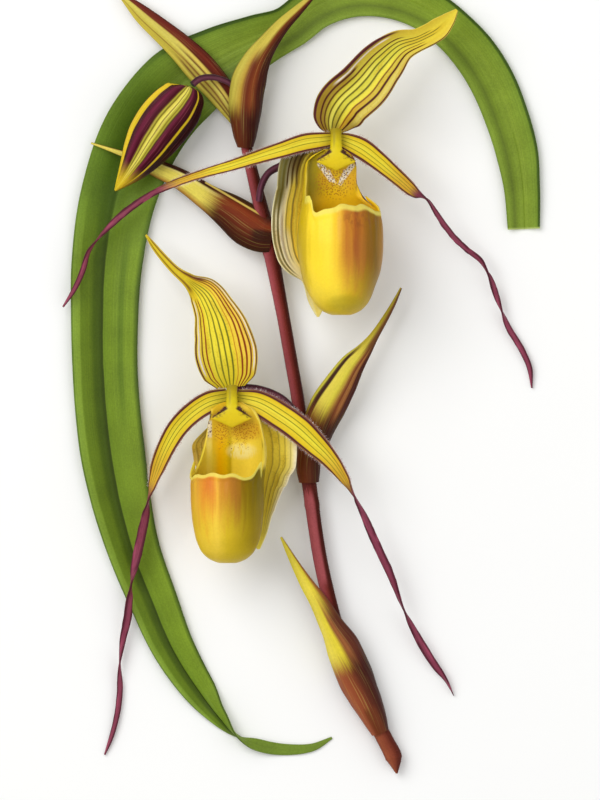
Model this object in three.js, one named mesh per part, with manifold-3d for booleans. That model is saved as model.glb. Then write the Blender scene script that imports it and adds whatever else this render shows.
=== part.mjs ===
// A cut stalk of a slipper orchid (Phragmipedium) and one of its strap leaves, lying on a
// table: two open flowers, one bud, five bracts and the leaf that arches round behind them.
// Units are millimetres. +X is to the right, +Y towards the tip of the stalk and +Z up, out
// of the table. Everything lies on z = 0, and the flowers face up.
//
// The pieces are laid out on a plan, a grid of thirds of a millimetre that counts to the right
// and down. In the rows below the first two numbers and the half width are grid units, and
// heights and depths are millimetres.

import * as THREE from 'three';
import { mergeVertices } from 'three/addons/utils/BufferGeometryUtils.js';
import Module from 'manifold-3d';

const wasm = await Module();
wasm.setup();

// ---------------------------------------------------------------- driving dimensions
const GRID = 1 / 3; // one unit of the plan
const PLAN_MIDDLE = [302, 389]; // the grid point that becomes x = 0, y = 0
const GAP = 0.32; // air left between pieces that touch
const LEAF_THICK = 0.8;
const BRACT_THICK = 0.7;
const PETAL_THICK = 0.66;
const SEPAL_THICK = 0.7;
const LIP_WALL = 0.8;
const LEAF_FLAT = 0.24; // share of the leaf's half width that lies flat under the channel
const LEAF_SHARES = [-1, -0.62, -0.2, 0.2, 0.62, 1]; // places across the leaf, from edge to edge
const LEAF_STEPS = 46;
const STALK_SIDES = 10;
const STALK_STEPS = 36;
const OVARY_SIDES = 8;
const OVARY_STEPS = 10;
const COLUMN_SIDES = 12;
const COLUMN_STEPS = 12;
const BUD_SIDES = 18;
const BUD_STEPS = 16;
const BUD_RIBS = 6;
const BUD_RIB_HEIGHT = 0.045; // share of the bud's radius
const BUD_DEPTH = 0.82; // depth of the bud as a share of its width
const BRACT_ACROSS = 6; // faces across a bract, from margin to margin
const SEPAL_ACROSS = 6;
const PETAL_ACROSS = 4;
const PETAL_WAVE = 0.35; // height of the wave along a petal's margins
const PETAL_WAVES = 5; // waves from the base of a petal to the end of its tail
const PETAL_WAVE_LAG = 1; // radians by which the left margin's wave runs behind the right one's
const LIP_SIDES = 28;
const LIP_LEVELS = 8; // rings from the toe of the pouch to the shoulder
const LIP_RIM_LEVELS = 4; // rings from the shoulder to the rim
const LIP_SHOULDER = 0.66; // share of the way up the wall at which those two sets of rings meet
const LIP_TOE = 0.02; // share at which the lowest ring stands, round the closed toe
const LIP_CROWDING = 1.25; // above 1 the rings draw together towards the toe
const LIP_FRONT_FALLS = [15, 60]; // degrees from the front over which the rim runs to its corners
const LIP_HORN_RISES = [66, 76]; // degrees over which the rim climbs to the horns
const LIP_BACK_RISES = [84, 104]; // degrees over which the rim climbs to the back wall
const LEAST_BEND = 1; // degrees, so that a flat section still has a radius

// Shares over which a slope is measured on a path, across a section and on a lip.
const PATH_STEP = 0.004;
const SECTION_STEP = 0.02;
const LIP_TURN_STEP = 0.03;
const LIP_RISE_STEP = 0.01;
const MERGE_DISTANCE = 1e-5; // vertices closer than this are one

// Colour and roughness of the living plant's surfaces.
const FINISH = {
  leaf: { color: '#6f9228', roughness: 0.45 },
  stalk: { color: '#82324b', roughness: 0.6 },
  bract: { color: '#a08a35', roughness: 0.55 },
  lowestBract: { color: '#8a4a28', roughness: 0.55 },
  petal: { color: '#d8cf3f', roughness: 0.5 },
  dorsalSepal: { color: '#cfc23c', roughness: 0.5 },
  synsepal: { color: '#d9d48a', roughness: 0.5 },
  lip: { color: '#e8c832', roughness: 0.35 },
  column: { color: '#e0c52e', roughness: 0.5 },
  bud: { color: '#8d6a3a', roughness: 0.5 },
  ovary: { color: '#4a1a2a', roughness: 0.6 },
};

// ---------------------------------------------------------------- rows and lofts

/** Rows off the plan as rows in millimetres, measured from the middle of the plan. */
function inMillimetres(rows) {
  return rows.map(([right, down, height, half, ...rest]) => [
    (right - PLAN_MIDDLE[0]) * GRID,
    (PLAN_MIDDLE[1] - down) * GRID,
    height,
    half * GRID,
    ...rest,
  ]);
}

/** How far along its path each row lies, measured straight from row to row. */
function knotsOf(rows) {
  const knots = [0];
  for (let i = 1; i < rows.length; i += 1) {
    const step = Math.hypot(
      rows[i][0] - rows[i - 1][0],
      rows[i][1] - rows[i - 1][1],
      rows[i][2] - rows[i - 1][2],
    );
    knots.push(knots[i - 1] + step);
  }
  return knots;
}

/**
 * Slope of one column of the rows at row i, for knots that are not evenly spaced. x and y
 * run on smoothly; heights, widths and angles never overshoot their rows.
 */
function slopeAt(rows, knots, i, column) {
  const last = rows.length - 1;
  const before = Math.max(i - 1, 0);
  const after = Math.min(i + 1, last);
  if (i === 0 || i === last) {
    return (rows[after][column] - rows[before][column]) / (knots[after] - knots[before]);
  }
  const left = (rows[i][column] - rows[before][column]) / (knots[i] - knots[before]);
  const right = (rows[after][column] - rows[i][column]) / (knots[after] - knots[i]);
  if (column >= 2) {
    return left * right > 0 ? (2 * left * right) / (left + right) : 0;
  }
  const share = (knots[i] - knots[before]) / (knots[after] - knots[before]);
  return left * (1 - share) + right * share;
}

/** One row of numbers at share t of the way along the rows, read off a smooth curve. */
function rowAt(rows, knots, t) {
  const target = t * knots[knots.length - 1];
  let i = 0;
  while (i < rows.length - 2 && knots[i + 1] < target) {
    i += 1;
  }
  const span = knots[i + 1] - knots[i];
  const s = THREE.MathUtils.clamp((target - knots[i]) / span, 0, 1);
  return rows[i].map((start, column) => {
    const end = rows[i + 1][column];
    const m0 = slopeAt(rows, knots, i, column) * span;
    const m1 = slopeAt(rows, knots, i + 1, column) * span;
    const s2 = s * s;
    const s3 = s2 * s;
    return (2 * s3 - 3 * s2 + 1) * start + (s3 - 2 * s2 + s) * m0
      + (3 * s2 - 2 * s3) * end + (s3 - s2) * m1;
  });
}

/** Where a path runs at share t, with its forward, side and face directions. */
function frameAt(rows, knots, t, roll = 0) {
  const here = rowAt(rows, knots, t);
  const back = rowAt(rows, knots, Math.max(t - PATH_STEP, 0));
  const ahead = rowAt(rows, knots, Math.min(t + PATH_STEP, 1));
  const point = new THREE.Vector3(here[0], here[1], here[2]);
  const forward = new THREE.Vector3(ahead[0] - back[0], ahead[1] - back[1], ahead[2] - back[2]);
  forward.normalize();
  const face = new THREE.Vector3(0, 0, 1).addScaledVector(forward, -forward.z).normalize();
  face.applyAxisAngle(forward, THREE.MathUtils.degToRad(roll));
  const side = new THREE.Vector3().crossVectors(forward, face);
  return { row: here, point, forward, side, face };
}

/** A closed solid through rings of points that all have the same even count. */
function loft(rings) {
  const count = rings[0].length;
  const half = count / 2;
  const positions = rings.flat().flatMap((p) => [p.x, p.y, p.z]);
  const index = [];
  const quad = (a, b, c, d, turned) => {
    if (turned) {
      index.push(a, b, d, b, c, d);
    } else {
      index.push(a, b, c, a, c, d);
    }
  };
  for (let k = 0; k < rings.length - 1; k += 1) {
    for (let j = 0; j < count; j += 1) {
      const next = (j + 1) % count;
      const turned = j >= half;
      quad(k * count + j, k * count + next, (k + 1) * count + next, (k + 1) * count + j, turned);
    }
  }
  const end = (rings.length - 1) * count;
  for (let j = 0; j < half - 1; j += 1) {
    quad(end + j, end + j + 1, end + count - 2 - j, end + count - 1 - j, false);
    quad(j, count - 1 - j, count - 2 - j, j + 1, true);
  }
  const geometry = new THREE.BufferGeometry();
  geometry.setAttribute('position', new THREE.Float32BufferAttribute(positions, 3));
  geometry.setIndex(index);
  return geometry;
}

/** Places across a blade from one edge, at -1, to the other, at 1, in even steps. */
function evenShares(across) {
  return Array.from({ length: across + 1 }, (_, i) => (2 * i) / across - 1);
}

/** Section of a blade that curls on an arc: bend is half the arc's angle in degrees. */
function arcSection(v, half, bend) {
  const angle = THREE.MathUtils.degToRad(Math.abs(bend) < LEAST_BEND ? LEAST_BEND : bend);
  const widest = Math.min(Math.abs(angle), Math.PI / 2);
  const radius = (Math.sign(angle) * half) / Math.sin(widest);
  return [radius * Math.sin(v * angle), radius * (1 - Math.cos(v * angle))];
}

/** Section of a strap leaf: a flat strip along the middle, with its sides rising. */
function channelSection(v, half, rise) {
  const out = Math.max(Math.abs(v) - LEAF_FLAT, 0) / (1 - LEAF_FLAT);
  return [v * half, rise * out];
}

/**
 * A thin closed blade. Each row is one place on its midrib:
 * [right, down, height, half width, roll in degrees, bend of its section in degrees].
 * The last number is the rise of the margins in millimetres where the section is a channel.
 */
function blade(plan, { thick, along, shares, section = arcSection, keel = 0, wave = 0, waves = 0 }) {
  const rows = inMillimetres(plan);
  const knots = knotsOf(rows);
  const rings = [];
  for (let k = 0; k <= along; k += 1) {
    const t = k / along;
    const { row, point, side, face } = frameAt(rows, knots, t, rowAt(rows, knots, t)[4]);
    const half = row[3];
    const bend = row[5];
    const fade = Math.sin(Math.PI * t);
    const height = (v) => {
      const ridge = -Math.sign(bend || 1) * keel * fade * (1 - Math.abs(v)) ** 2;
      const lag = v > 0 ? 0 : PETAL_WAVE_LAG;
      return ridge + wave * fade * v * v * Math.sin(2 * Math.PI * waves * t + lag);
    };
    const place = (v) => {
      const [sideways, up] = section(v, half, bend);
      return new THREE.Vector2(sideways, up + height(v));
    };
    const top = [];
    const under = [];
    for (const v of shares) {
      const at = place(v);
      const slope = place(v + SECTION_STEP).sub(place(v - SECTION_STEP)).normalize();
      const normal = new THREE.Vector2(-slope.y, slope.x).multiplyScalar(thick / 2);
      const lift = (p) => point.clone().addScaledVector(side, p.x).addScaledVector(face, p.y);
      top.push(lift(at.clone().add(normal)));
      under.push(lift(at.clone().sub(normal)));
    }
    rings.push([...top, ...under.reverse()]);
  }
  return loft(rings);
}

/**
 * A closed round stem. Each row is one place on its axis:
 * [right, down, height, half width, half depth]. Where the half depth is left out, it is
 * flatten times the half width.
 */
function stem(plan, { sides, along, grow = 0, flatten = 1, ribs = 0, ribHeight = 0 }) {
  const full = inMillimetres(plan).map(
    ([x, y, z, width, depth = width * flatten]) => [x, y, z, width, depth],
  );
  const knots = knotsOf(full);
  const rings = [];
  for (let k = 0; k <= along; k += 1) {
    const t = k / along;
    const { row, point, side, face } = frameAt(full, knots, t);
    const ring = [];
    for (let j = 0; j < sides; j += 1) {
      const angle = (2 * Math.PI * (j + 0.5)) / sides;
      const rib = 1 + ribHeight * Math.cos(ribs * angle);
      const wide = -(row[3] + grow) * rib * Math.cos(angle);
      const deep = (row[4] + grow) * rib * Math.sin(angle);
      ring.push(point.clone().addScaledVector(side, wide).addScaledVector(face, deep));
    }
    rings.push(ring);
  }
  return loft(rings);
}

/** A solid for manifold-3d, from any closed geometry. */
function toManifold(geometry) {
  const bare = geometry.clone();
  bare.deleteAttribute('normal');
  bare.deleteAttribute('uv');
  const merged = mergeVertices(bare, MERGE_DISTANCE);
  return new wasm.Manifold(new wasm.Mesh({
    numProp: 3,
    vertProperties: new Float32Array(merged.attributes.position.array),
    triVerts: new Uint32Array(merged.index.array),
  }));
}

/** A geometry from a manifold-3d solid. */
function fromManifold(solid) {
  const mesh = solid.getMesh();
  const geometry = new THREE.BufferGeometry();
  geometry.setAttribute('position', new THREE.BufferAttribute(mesh.vertProperties, 3));
  geometry.setIndex(new THREE.BufferAttribute(mesh.triVerts, 1));
  return geometry;
}

/**
 * The geometry with room cut out of it for every one of the clearance solids. Only its
 * largest body is kept, because a margin beyond the cut would hang loose.
 */
function trimmed(geometry, clearances) {
  const cut = clearances.reduce(
    (solid, clearance) => solid.subtract(toManifold(clearance)),
    toManifold(geometry),
  );
  const bodies = cut.decompose().sort((a, b) => b.volume() - a.volume());
  return fromManifold(bodies[0]);
}

// ---------------------------------------------------------------- the slipper lip

/**
 * A point on the outside of a lip. The lip is a hollow pouch, open above its front rim, whose
 * back wall runs on up to the column. Each row of levels is one height of the pouch, from its
 * toe to its top: [x of its middle, y, z of its sides, half width, depth ahead, depth behind].
 * rim says how far up the wall reaches in front, at the corners of the front rim, at the
 * two horns and behind, and by how much the flower is turned to one side.
 */
function lipPoint(levels, knots, rim, angle, share) {
  const turned = angle - THREE.MathUtils.degToRad(rim.turn) + Math.PI;
  const around = Math.abs(THREE.MathUtils.euclideanModulo(turned, 2 * Math.PI) - Math.PI);
  const degrees = THREE.MathUtils.radToDeg(around);
  const { lerp, smoothstep } = THREE.MathUtils;
  const front = lerp(rim.front, rim.corner, smoothstep(degrees, ...LIP_FRONT_FALLS));
  const horn = lerp(front, rim.horn, smoothstep(degrees, ...LIP_HORN_RISES));
  const reach = lerp(horn, rim.back, smoothstep(degrees, ...LIP_BACK_RISES));
  const low = Math.min(share / LIP_SHOULDER, 1) * rim.shoulder;
  const climbed = Math.max(share - LIP_SHOULDER, 0) / (1 - LIP_SHOULDER);
  const high = climbed * (reach - rim.shoulder);
  const [x, y, z, half, ahead, behind] = rowAt(levels, knots, low + high);
  const depth = Math.cos(angle) > 0 ? ahead : behind;
  return new THREE.Vector3(x + half * Math.sin(angle), y, z + depth * Math.cos(angle));
}

/** The closed shell of a lip, with its wall thickness set inwards. */
function lip(plan, rim) {
  const levels = inMillimetres(plan);
  const rows = LIP_LEVELS + LIP_RIM_LEVELS;
  const knots = knotsOf(levels);
  const shareOf = (k) => {
    if (k <= LIP_LEVELS) {
      return LIP_SHOULDER * THREE.MathUtils.lerp(LIP_TOE, 1, (k / LIP_LEVELS) ** LIP_CROWDING);
    }
    return THREE.MathUtils.lerp(LIP_SHOULDER, 1, (k - LIP_LEVELS) / LIP_RIM_LEVELS);
  };
  const outer = [];
  const inner = [];
  for (let k = 0; k <= rows; k += 1) {
    for (let j = 0; j < LIP_SIDES; j += 1) {
      const angle = (2 * Math.PI * j) / LIP_SIDES;
      const share = shareOf(k);
      const at = (da, ds) => lipPoint(levels, knots, rim, angle + da, share + ds);
      const low = k === 0 ? 0 : -LIP_RISE_STEP;
      const high = k === rows ? 0 : LIP_RISE_STEP;
      const round = at(LIP_TURN_STEP, 0).sub(at(-LIP_TURN_STEP, 0));
      const rise = at(0, high).sub(at(0, low));
      const inward = new THREE.Vector3().crossVectors(rise, round).normalize();
      outer.push(at(0, 0));
      inner.push(at(0, 0).addScaledVector(inward, LIP_WALL));
    }
  }
  const middle = (ring) => {
    const sum = new THREE.Vector3();
    for (const p of ring) {
      sum.add(p);
    }
    return sum.divideScalar(ring.length);
  };
  const toeOut = middle(outer.slice(0, LIP_SIDES));
  const toeIn = middle(inner.slice(0, LIP_SIDES));
  const points = [...outer, ...inner, toeOut, toeIn];
  const innerStart = outer.length;
  const toe = outer.length + inner.length;
  const index = [];
  for (let j = 0; j < LIP_SIDES; j += 1) {
    const next = (j + 1) % LIP_SIDES;
    for (let k = 0; k < rows; k += 1) {
      const a = k * LIP_SIDES + j;
      const b = k * LIP_SIDES + next;
      const c = b + LIP_SIDES;
      const d = a + LIP_SIDES;
      index.push(a, b, c, a, c, d);
      index.push(innerStart + a, innerStart + c, innerStart + b);
      index.push(innerStart + a, innerStart + d, innerStart + c);
    }
    const rimOut = rows * LIP_SIDES;
    const rimIn = innerStart + rimOut;
    index.push(rimOut + j, rimOut + next, rimIn + j);
    index.push(rimOut + next, rimIn + next, rimIn + j);
    index.push(toe, next, j);
    index.push(toe + 1, innerStart + j, innerStart + next);
  }
  const geometry = new THREE.BufferGeometry();
  geometry.setAttribute(
    'position',
    new THREE.Float32BufferAttribute(points.flatMap((p) => [p.x, p.y, p.z]), 3),
  );
  geometry.setIndex(index);
  return geometry;
}

// ---------------------------------------------------------------- shapes of the pieces

// Strap leaf, from its cut base over the arch and down to its twisted tip.
const LEAF = [
  [524, 229, 0.4, 16, 0, 1.2],
  [522, 187, 0.4, 18, 0, 1.8],
  [517, 152, 0.4, 21, 0, 2],
  [506.5, 116, 0.4, 22, 0, 2.2],
  [492.5, 82, 0.4, 22.5, 0, 2.2],
  [475, 54, 0.4, 22.3, 0, 2.2],
  [453, 30, 0.4, 21.5, 0, 2.2],
  [425, 9, 0.4, 21.5, 0, 2],
  [390, -4, 0.4, 22, 0, 2],
  [352, -6, 0.4, 23, 0, 2],
  [316, 7, 0.4, 22, 0, 2],
  [289, 27, 0.4, 22, 0, 2],
  [258, 41, 0.4, 27, 0, 2.2],
  [222, 59, 0.4, 34, 0, 2.4],
  [177, 89.5, 0.4, 41.2, 0, 2.4],
  [148, 125, 0.4, 41, 0, 2.4],
  [119, 194, 0.4, 38, 0, 2.4],
  [107, 262, 0.4, 35.5, 0, 2.4],
  [104.5, 320, 0.4, 33.5, 0, 2.4],
  [105.5, 380, 0.4, 32.5, 0, 2.4],
  [111, 441, 0.4, 32.5, 0, 2.4],
  [120.5, 498, 0.4, 29.8, 0, 2.4],
  [134.5, 552, 0.4, 26, 0, 2.2],
  [153, 600, 0.4, 24, 0, 2],
  [173.3, 648, 0.4, 21, 0, 1.8],
  [199.5, 690.5, 0.4, 16.5, 0, 1.4],
  [220.5, 718, 2.2, 9.8, 30, 0.8],
  [239.5, 737.5, 2.8, 6.8, 95, 0.3],
  [263, 746.5, 1.6, 6.3, 165, 0],
  [289, 749.8, 0.6, 5.4, 180, 0],
  [314, 747.3, 0.5, 3.6, 180, 0],
  [332, 738, 0.4, 1, 180, 0],
];

// Flower stalk, from its end cut to a point, with a swelling at each bract.
const STALK = [
  [396.8, 773.64, 3, 0.9],
  [394, 758.4, 3.2, 8],
  [393.6, 757, 3.2, 8.5],
  [386.3, 742, 3.5, 8.1],
  [372.5, 716, 4.1, 8],
  [360, 690, 4.6, 7.6],
  [348, 662, 5, 7.2],
  [337, 628, 5.3, 7],
  [328, 594, 5.5, 7],
  [320.5, 560, 5.6, 7],
  [315, 526, 5.7, 7],
  [311.5, 500, 5.8, 7.2],
  [309, 482, 5.8, 7.3],
  [306, 462, 5.8, 7.2],
  [302, 430, 5.8, 7],
  [298, 400, 5.8, 6.4],
  [291, 360, 5.9, 6.4],
  [284.3, 322, 6, 6.4],
  [277.5, 286, 6.1, 6.9],
  [271.7, 256, 6.2, 7.6],
  [266.5, 232, 6.3, 8],
  [261, 208, 6.4, 7.2],
  [254, 180, 6.5, 6.2],
  [247.5, 152, 6.6, 5.6],
  [242.5, 124, 6.8, 5.1],
  [240, 102, 7.1, 4.6],
];

// Lowest bract, a sheath round the stalk with a free yellow blade.
const BRACT_1 = [
  [380.8, 733.5, 6.9, 8.8, 0, -150],
  [373.5, 716, 8.2, 12, 0, -138],
  [365, 698, 9.3, 15.2, 0, -115],
  [354, 677, 10.2, 17.5, -5, -100],
  [340.5, 651, 10.6, 17, -15, -90],
  [329, 628, 10.4, 13, -25, -75],
  [317, 603, 9.8, 9.6, -25, -60],
  [305, 582, 9, 6.5, -15, -50],
  [293, 560, 8.4, 3.6, -5, -45],
  [281, 537, 8, 1, 0, -40],
];

// Bract under the lower flower.
const BRACT_2 = [
  [309, 483, 9.4, 9.8, 0, -140],
  [308.5, 462, 10, 11.8, 0, -115],
  [316.5, 432, 11, 15.8, 0, -85],
  [327.5, 407, 12, 18, 0, -65],
  [340.3, 385, 12.6, 16, 0, -55],
  [352.3, 365, 12.8, 12.3, 0, -50],
  [364.5, 350, 12.8, 7.6, 0, -50],
  [375.5, 334, 12.7, 4, 0, -55],
  [384.8, 319, 12.4, 2.8, 0, -60],
  [393.8, 303, 12, 1.9, 0, -60],
  [401, 288, 11.6, 0.9, 0, -60],
];

// Bract under the upper flower, reaching out over the leaf.
const BRACT_3 = [
  [272, 235.5, 9.9, 16.8, 0, -18],
  [262, 233.5, 9.7, 19, 0, -28],
  [249, 226, 9.3, 21, 0, -40],
  [230, 212, 8.4, 18, 0, -50],
  [207, 197, 7.2, 13, 0, -50],
  [180, 179, 5.8, 10.3, 0, -40],
  [154, 167, 4.9, 8.5, 0, -30],
  [135, 158, 4.5, 5, 0, -25],
  [119, 152.5, 4.4, 2.6, 0, -20],
  [91, 143, 4.3, 0.9, 0, -20],
];

// Bract at the tip of the stalk.
const BRACT_4 = [
  [245.5, 148, 9.5, 7.9, 0, -140],
  [245, 130, 10.4, 12.4, 0, -110],
  [245.5, 105, 11.4, 16.7, 0, -80],
  [248.5, 83, 11.8, 17.3, 0, -60],
  [256.3, 62, 11.6, 14, 0, -55],
  [270, 41, 11, 9.5, 0, -55],
  [284, 24, 10.5, 7, 0, -55],
  [297.5, 11, 10.1, 5, 0, -55],
  [309, 0, 9.8, 3, 0, -50],
  [319, -10, 9.5, 0.9, 0, -45],
];

// Bract under the bud, lying on the leaf.
const BRACT_5 = [
  [238, 120, 4, 8, 0, -10],
  [223, 95, 5.2, 13.5, 0, -20],
  [200.5, 68, 5.3, 15.5, 0, -22],
  [179.5, 46.5, 5.2, 13.3, 0, -22],
  [160, 29.5, 5, 11.2, 0, -22],
  [143, 15, 4.8, 9, 0, -22],
  [130, 3, 4.5, 5.5, 0, -20],
  [117, -8, 4.3, 0.9, 0, -20],
];

// Stalk and ovary of the bud.
const BUD_STALK = [
  [239, 92, 7, 3],
  [231, 84, 6.9, 3],
  [220, 79, 7.8, 3],
  [208, 77.5, 9.6, 3.2],
  [198.5, 80, 11.2, 3.4],
  [192.7, 84.8, 12.1, 3.5],
];

// The closed bud, from its stalk to its beak.
const BUD = [
  [190.3, 87, 12.5, 4],
  [189.9, 88.3, 12.5, 9.5],
  [189, 90.6, 12.6, 14.5],
  [187.2, 94, 12.7, 18.8],
  [182.6, 100, 12.8, 22.8],
  [175, 109.5, 12.8, 25.8],
  [165.3, 121, 12.6, 26.8],
  [153.6, 137, 12, 25.3],
  [145.4, 149.7, 11.4, 22],
  [134.4, 166.4, 10.4, 15.2],
  [122.3, 182.2, 9.4, 6.5],
  [115.2, 190.8, 9, 1],
];

// Ovary of the upper flower.
const UPPER_OVARY = [
  [259, 201, 10.2, 3.2],
  [261, 188, 11.6, 3.4],
  [268, 174, 13.2, 3.6],
  [284, 165, 14.4, 4],
  [303, 158, 15.2, 4.6],
  [320, 150, 15.6, 5.2],
  [335, 141, 16, 6.2],
];

// Ovary of the lower flower.
const LOWER_OVARY = [
  [300, 421, 9.4, 3.2],
  [292, 408, 11, 3.4],
  [282, 398.5, 12.2, 3.6],
  [268, 392, 12.8, 4],
  [252, 389, 13, 4.8],
  [236, 391, 13.2, 7],
];

// Hooded sepal over the upper flower.
const UPPER_DORSAL = [
  [332.5, 134.5, 17, 5, 0, 8],
  [333, 129.5, 17.4, 14.5, 0, 10],
  [335, 120, 18.4, 22.5, 0, 18],
  [343, 105.5, 20.6, 26.3, 0, 34],
  [363, 87, 22.4, 26, 0, 40],
  [381, 65, 22.8, 23, 0, 40],
  [399, 48, 21.6, 16.5, 0, 45],
  [420, 40, 19.8, 11, 0, 50],
  [436, 31.3, 18, 10.8, 0, 50],
  [447.8, 20.6, 16.6, 7, 0, 45],
  [456.5, 10.8, 15.6, 1.5, 0, 40],
];

// Hooded sepal over the lower flower.
const LOWER_DORSAL = [
  [231, 387, 15.6, 14.5, 0, 10],
  [229.5, 374, 16.8, 26.5, 0, 30],
  [226, 352, 18.6, 31, 0, 40],
  [221.5, 330, 19.4, 27.3, 0, 45],
  [214.5, 310, 18.6, 20.5, 0, 50],
  [205, 293.5, 16.8, 15.8, 0, 55],
  [190, 281.5, 14.8, 7, 0, 60],
  [175.5, 270.5, 12.8, 4.3, 0, 60],
  [165, 259.5, 11.2, 3.6, 0, 60],
  [155, 247.5, 9.8, 2.8, 0, 55],
  [146, 235, 8.8, 0.9, 0, 50],
];

// The two lower sepals of the upper flower, grown together behind its lip.
const UPPER_SYNSEPAL = [
  [330, 150, 18.5, 11, 0, 10],
  [318, 165, 16.6, 38, -8, 30],
  [314, 190, 13.4, 41, -12, 35],
  [311, 220, 11.2, 43, -12, 35],
  [312, 250, 10.6, 39.5, -12, 35],
  [319.5, 279, 11, 21, -10, 35],
  [317.5, 302, 12, 9.5, -5, 30],
  [318, 317, 12.8, 1.2, 0, 25],
];

// The two lower sepals of the lower flower.
const LOWER_SYNSEPAL = [
  [236, 404, 15.7, 12, 0, 10],
  [241, 416, 14.2, 37, 6, 20],
  [246, 438, 11, 53, 10, 30],
  [248, 461, 8.6, 52, 12, 32],
  [247.8, 474, 8, 45.2, 12, 34],
  [247.5, 488, 7.6, 40.3, 12, 35],
  [251, 515, 7.8, 26, 10, 35],
  [256, 535, 8.6, 12, 5, 30],
  [259, 549, 9.2, 1.2, 0, 25],
];

// Left petal of the upper flower and its long tail.
const UPPER_PETAL_LEFT = [
  [333.5, 139.5, 19.8, 6.8, 0, 12],
  [322, 141, 20.5, 8, 0, 16],
  [307, 143, 21.5, 9, 0, 22],
  [280, 151, 23, 7.8, 0, 25],
  [254, 159, 23, 6.5, 0, 25],
  [230, 166.5, 21.5, 5.3, 0, 25],
  [207, 173, 19, 4.5, 0, 25],
  [180, 182, 16, 3.8, 10, 20],
  [156, 192, 13, 3.5, 30, 15],
  [134, 206, 10.4, 3.5, 20, 10],
  [113, 223, 8.6, 3.8, 40, 10],
  [98, 239, 7.4, 3.6, 80, 10],
  [89, 252, 6.7, 3.2, 120, 10],
  [83, 270, 6.1, 3, 160, 10],
  [74, 290, 5.3, 2.4, 180, 10],
  [63, 307, 4.7, 0.9, 200, 10],
];

// Right petal of the upper flower and its long tail.
const UPPER_PETAL_RIGHT = [
  [338.5, 139.5, 19.8, 6.5, 0, 12],
  [347, 142.5, 20, 8.8, 0, 16],
  [361, 149, 20.2, 10.5, 0, 22],
  [378, 161.5, 19.6, 9.3, 0, 25],
  [394, 175, 18.2, 7.8, 0, 25],
  [407.5, 186.5, 16.4, 6.8, 10, 25],
  [417, 194.5, 15, 5, 35, 20],
  [425, 198.5, 13.8, 2.6, 90, 12],
  [435, 211.5, 12, 2.6, 140, 10],
  [445, 226, 10.4, 2.8, 165, 10],
  [454, 237.5, 9, 2.8, 180, 10],
  [467, 249.5, 7.6, 2.7, 195, 10],
  [480.5, 260.5, 6.2, 3, 215, 10],
  [487, 272, 5.2, 2.8, 270, 10],
  [492, 283, 4.4, 3, 335, 10],
  [499.5, 305, 3.2, 3, 420, 10],
  [508.5, 327, 2.6, 3.1, 510, 10],
  [522, 350, 2, 3, 540, 10],
  [529.5, 367, 1.5, 2.8, 560, 10],
  [532, 388, 0.8, 0.9, 580, 10],
];

// Left petal of the lower flower and its long tail.
const LOWER_PETAL_LEFT = [
  [228, 397.5, 17, 9.5, 0, 12],
  [209, 402.5, 17.4, 11, 0, 22],
  [192.5, 413, 17, 10.6, 0, 25],
  [178.5, 427, 16, 10.2, 0, 25],
  [167.5, 445, 14.6, 9.2, 0, 25],
  [159.3, 464, 13, 7.8, 5, 25],
  [153.8, 481, 11.6, 5.2, 30, 20],
  [148.5, 500, 10.2, 3.6, 90, 12],
  [145.5, 518, 9, 4.5, 150, 10],
  [140, 542, 7.8, 4.5, 180, 10],
  [135.5, 563, 7, 4.5, 210, 10],
  [131, 586, 6.4, 3.6, 270, 10],
  [128.7, 602, 5.6, 4, 325, 10],
  [127.5, 618, 4.8, 4, 360, 10],
  [122.7, 640, 3.6, 3.4, 390, 10],
  [119.7, 664, 2.6, 3, 450, 10],
  [120, 688, 2, 3, 520, 10],
  [116.7, 716, 1.6, 2.8, 540, 10],
  [110.3, 740, 1.1, 2.2, 560, 10],
  [104.5, 755, 0.7, 0.9, 580, 10],
];

// Right petal of the lower flower and its long tail.
const LOWER_PETAL_RIGHT = [
  [237, 398, 17, 8.5, 0, 12],
  [258, 403, 18.4, 12.5, 0, 22],
  [280, 415.5, 19.8, 13.5, 0, 25],
  [299, 429, 20.6, 13.5, 0, 25],
  [314, 443, 20.2, 12, 0, 25],
  [329, 458, 18.8, 9, 5, 25],
  [344, 478, 16.6, 5.8, 25, 20],
  [354.5, 496, 14.8, 3.6, 85, 12],
  [362, 511, 13.4, 3.6, 140, 10],
  [370.5, 531, 11.8, 4, 175, 10],
  [380, 552, 10.2, 4, 185, 10],
  [387, 567, 9, 4, 195, 10],
  [394.5, 586, 7.8, 3.6, 225, 10],
  [404.5, 611, 6.2, 2.8, 270, 10],
  [411.5, 626, 5.2, 3.2, 325, 10],
  [424.5, 649, 3.8, 4, 360, 10],
  [435.5, 666, 2.8, 3.7, 375, 10],
  [446, 680, 2, 3, 420, 10],
  [454, 696, 0.8, 0.9, 450, 10],
];

// Pouch of the upper flower, from its toe up to the column.
const UPPER_LIP = [
  [341, 317, 26.5, 1.2, 0.3, 0.3],
  [341, 314.5, 26.5, 12, 3.8, 3.8],
  [341, 310.5, 26.6, 20, 6.5, 6.5],
  [341, 303, 26.8, 27, 9, 9],
  [340, 288, 27, 34.5, 11.8, 11.8],
  [340.5, 268, 27, 40.5, 13, 13.2],
  [340, 245, 27, 43, 13.2, 13.5],
  [340, 225, 26.8, 42, 12.6, 12],
  [339, 210, 26.2, 38.5, 11.6, 9.6],
  [332, 195, 24.6, 29.5, 9.5, 6.6],
  [331, 180, 23.2, 27.3, 7.5, 4.2],
  [332, 166, 22.2, 27, 6, 2],
  [333, 158, 21.9, 23, 4, 1.1],
  [335, 150, 21.7, 11, 2.5, 0.8],
];

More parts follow.
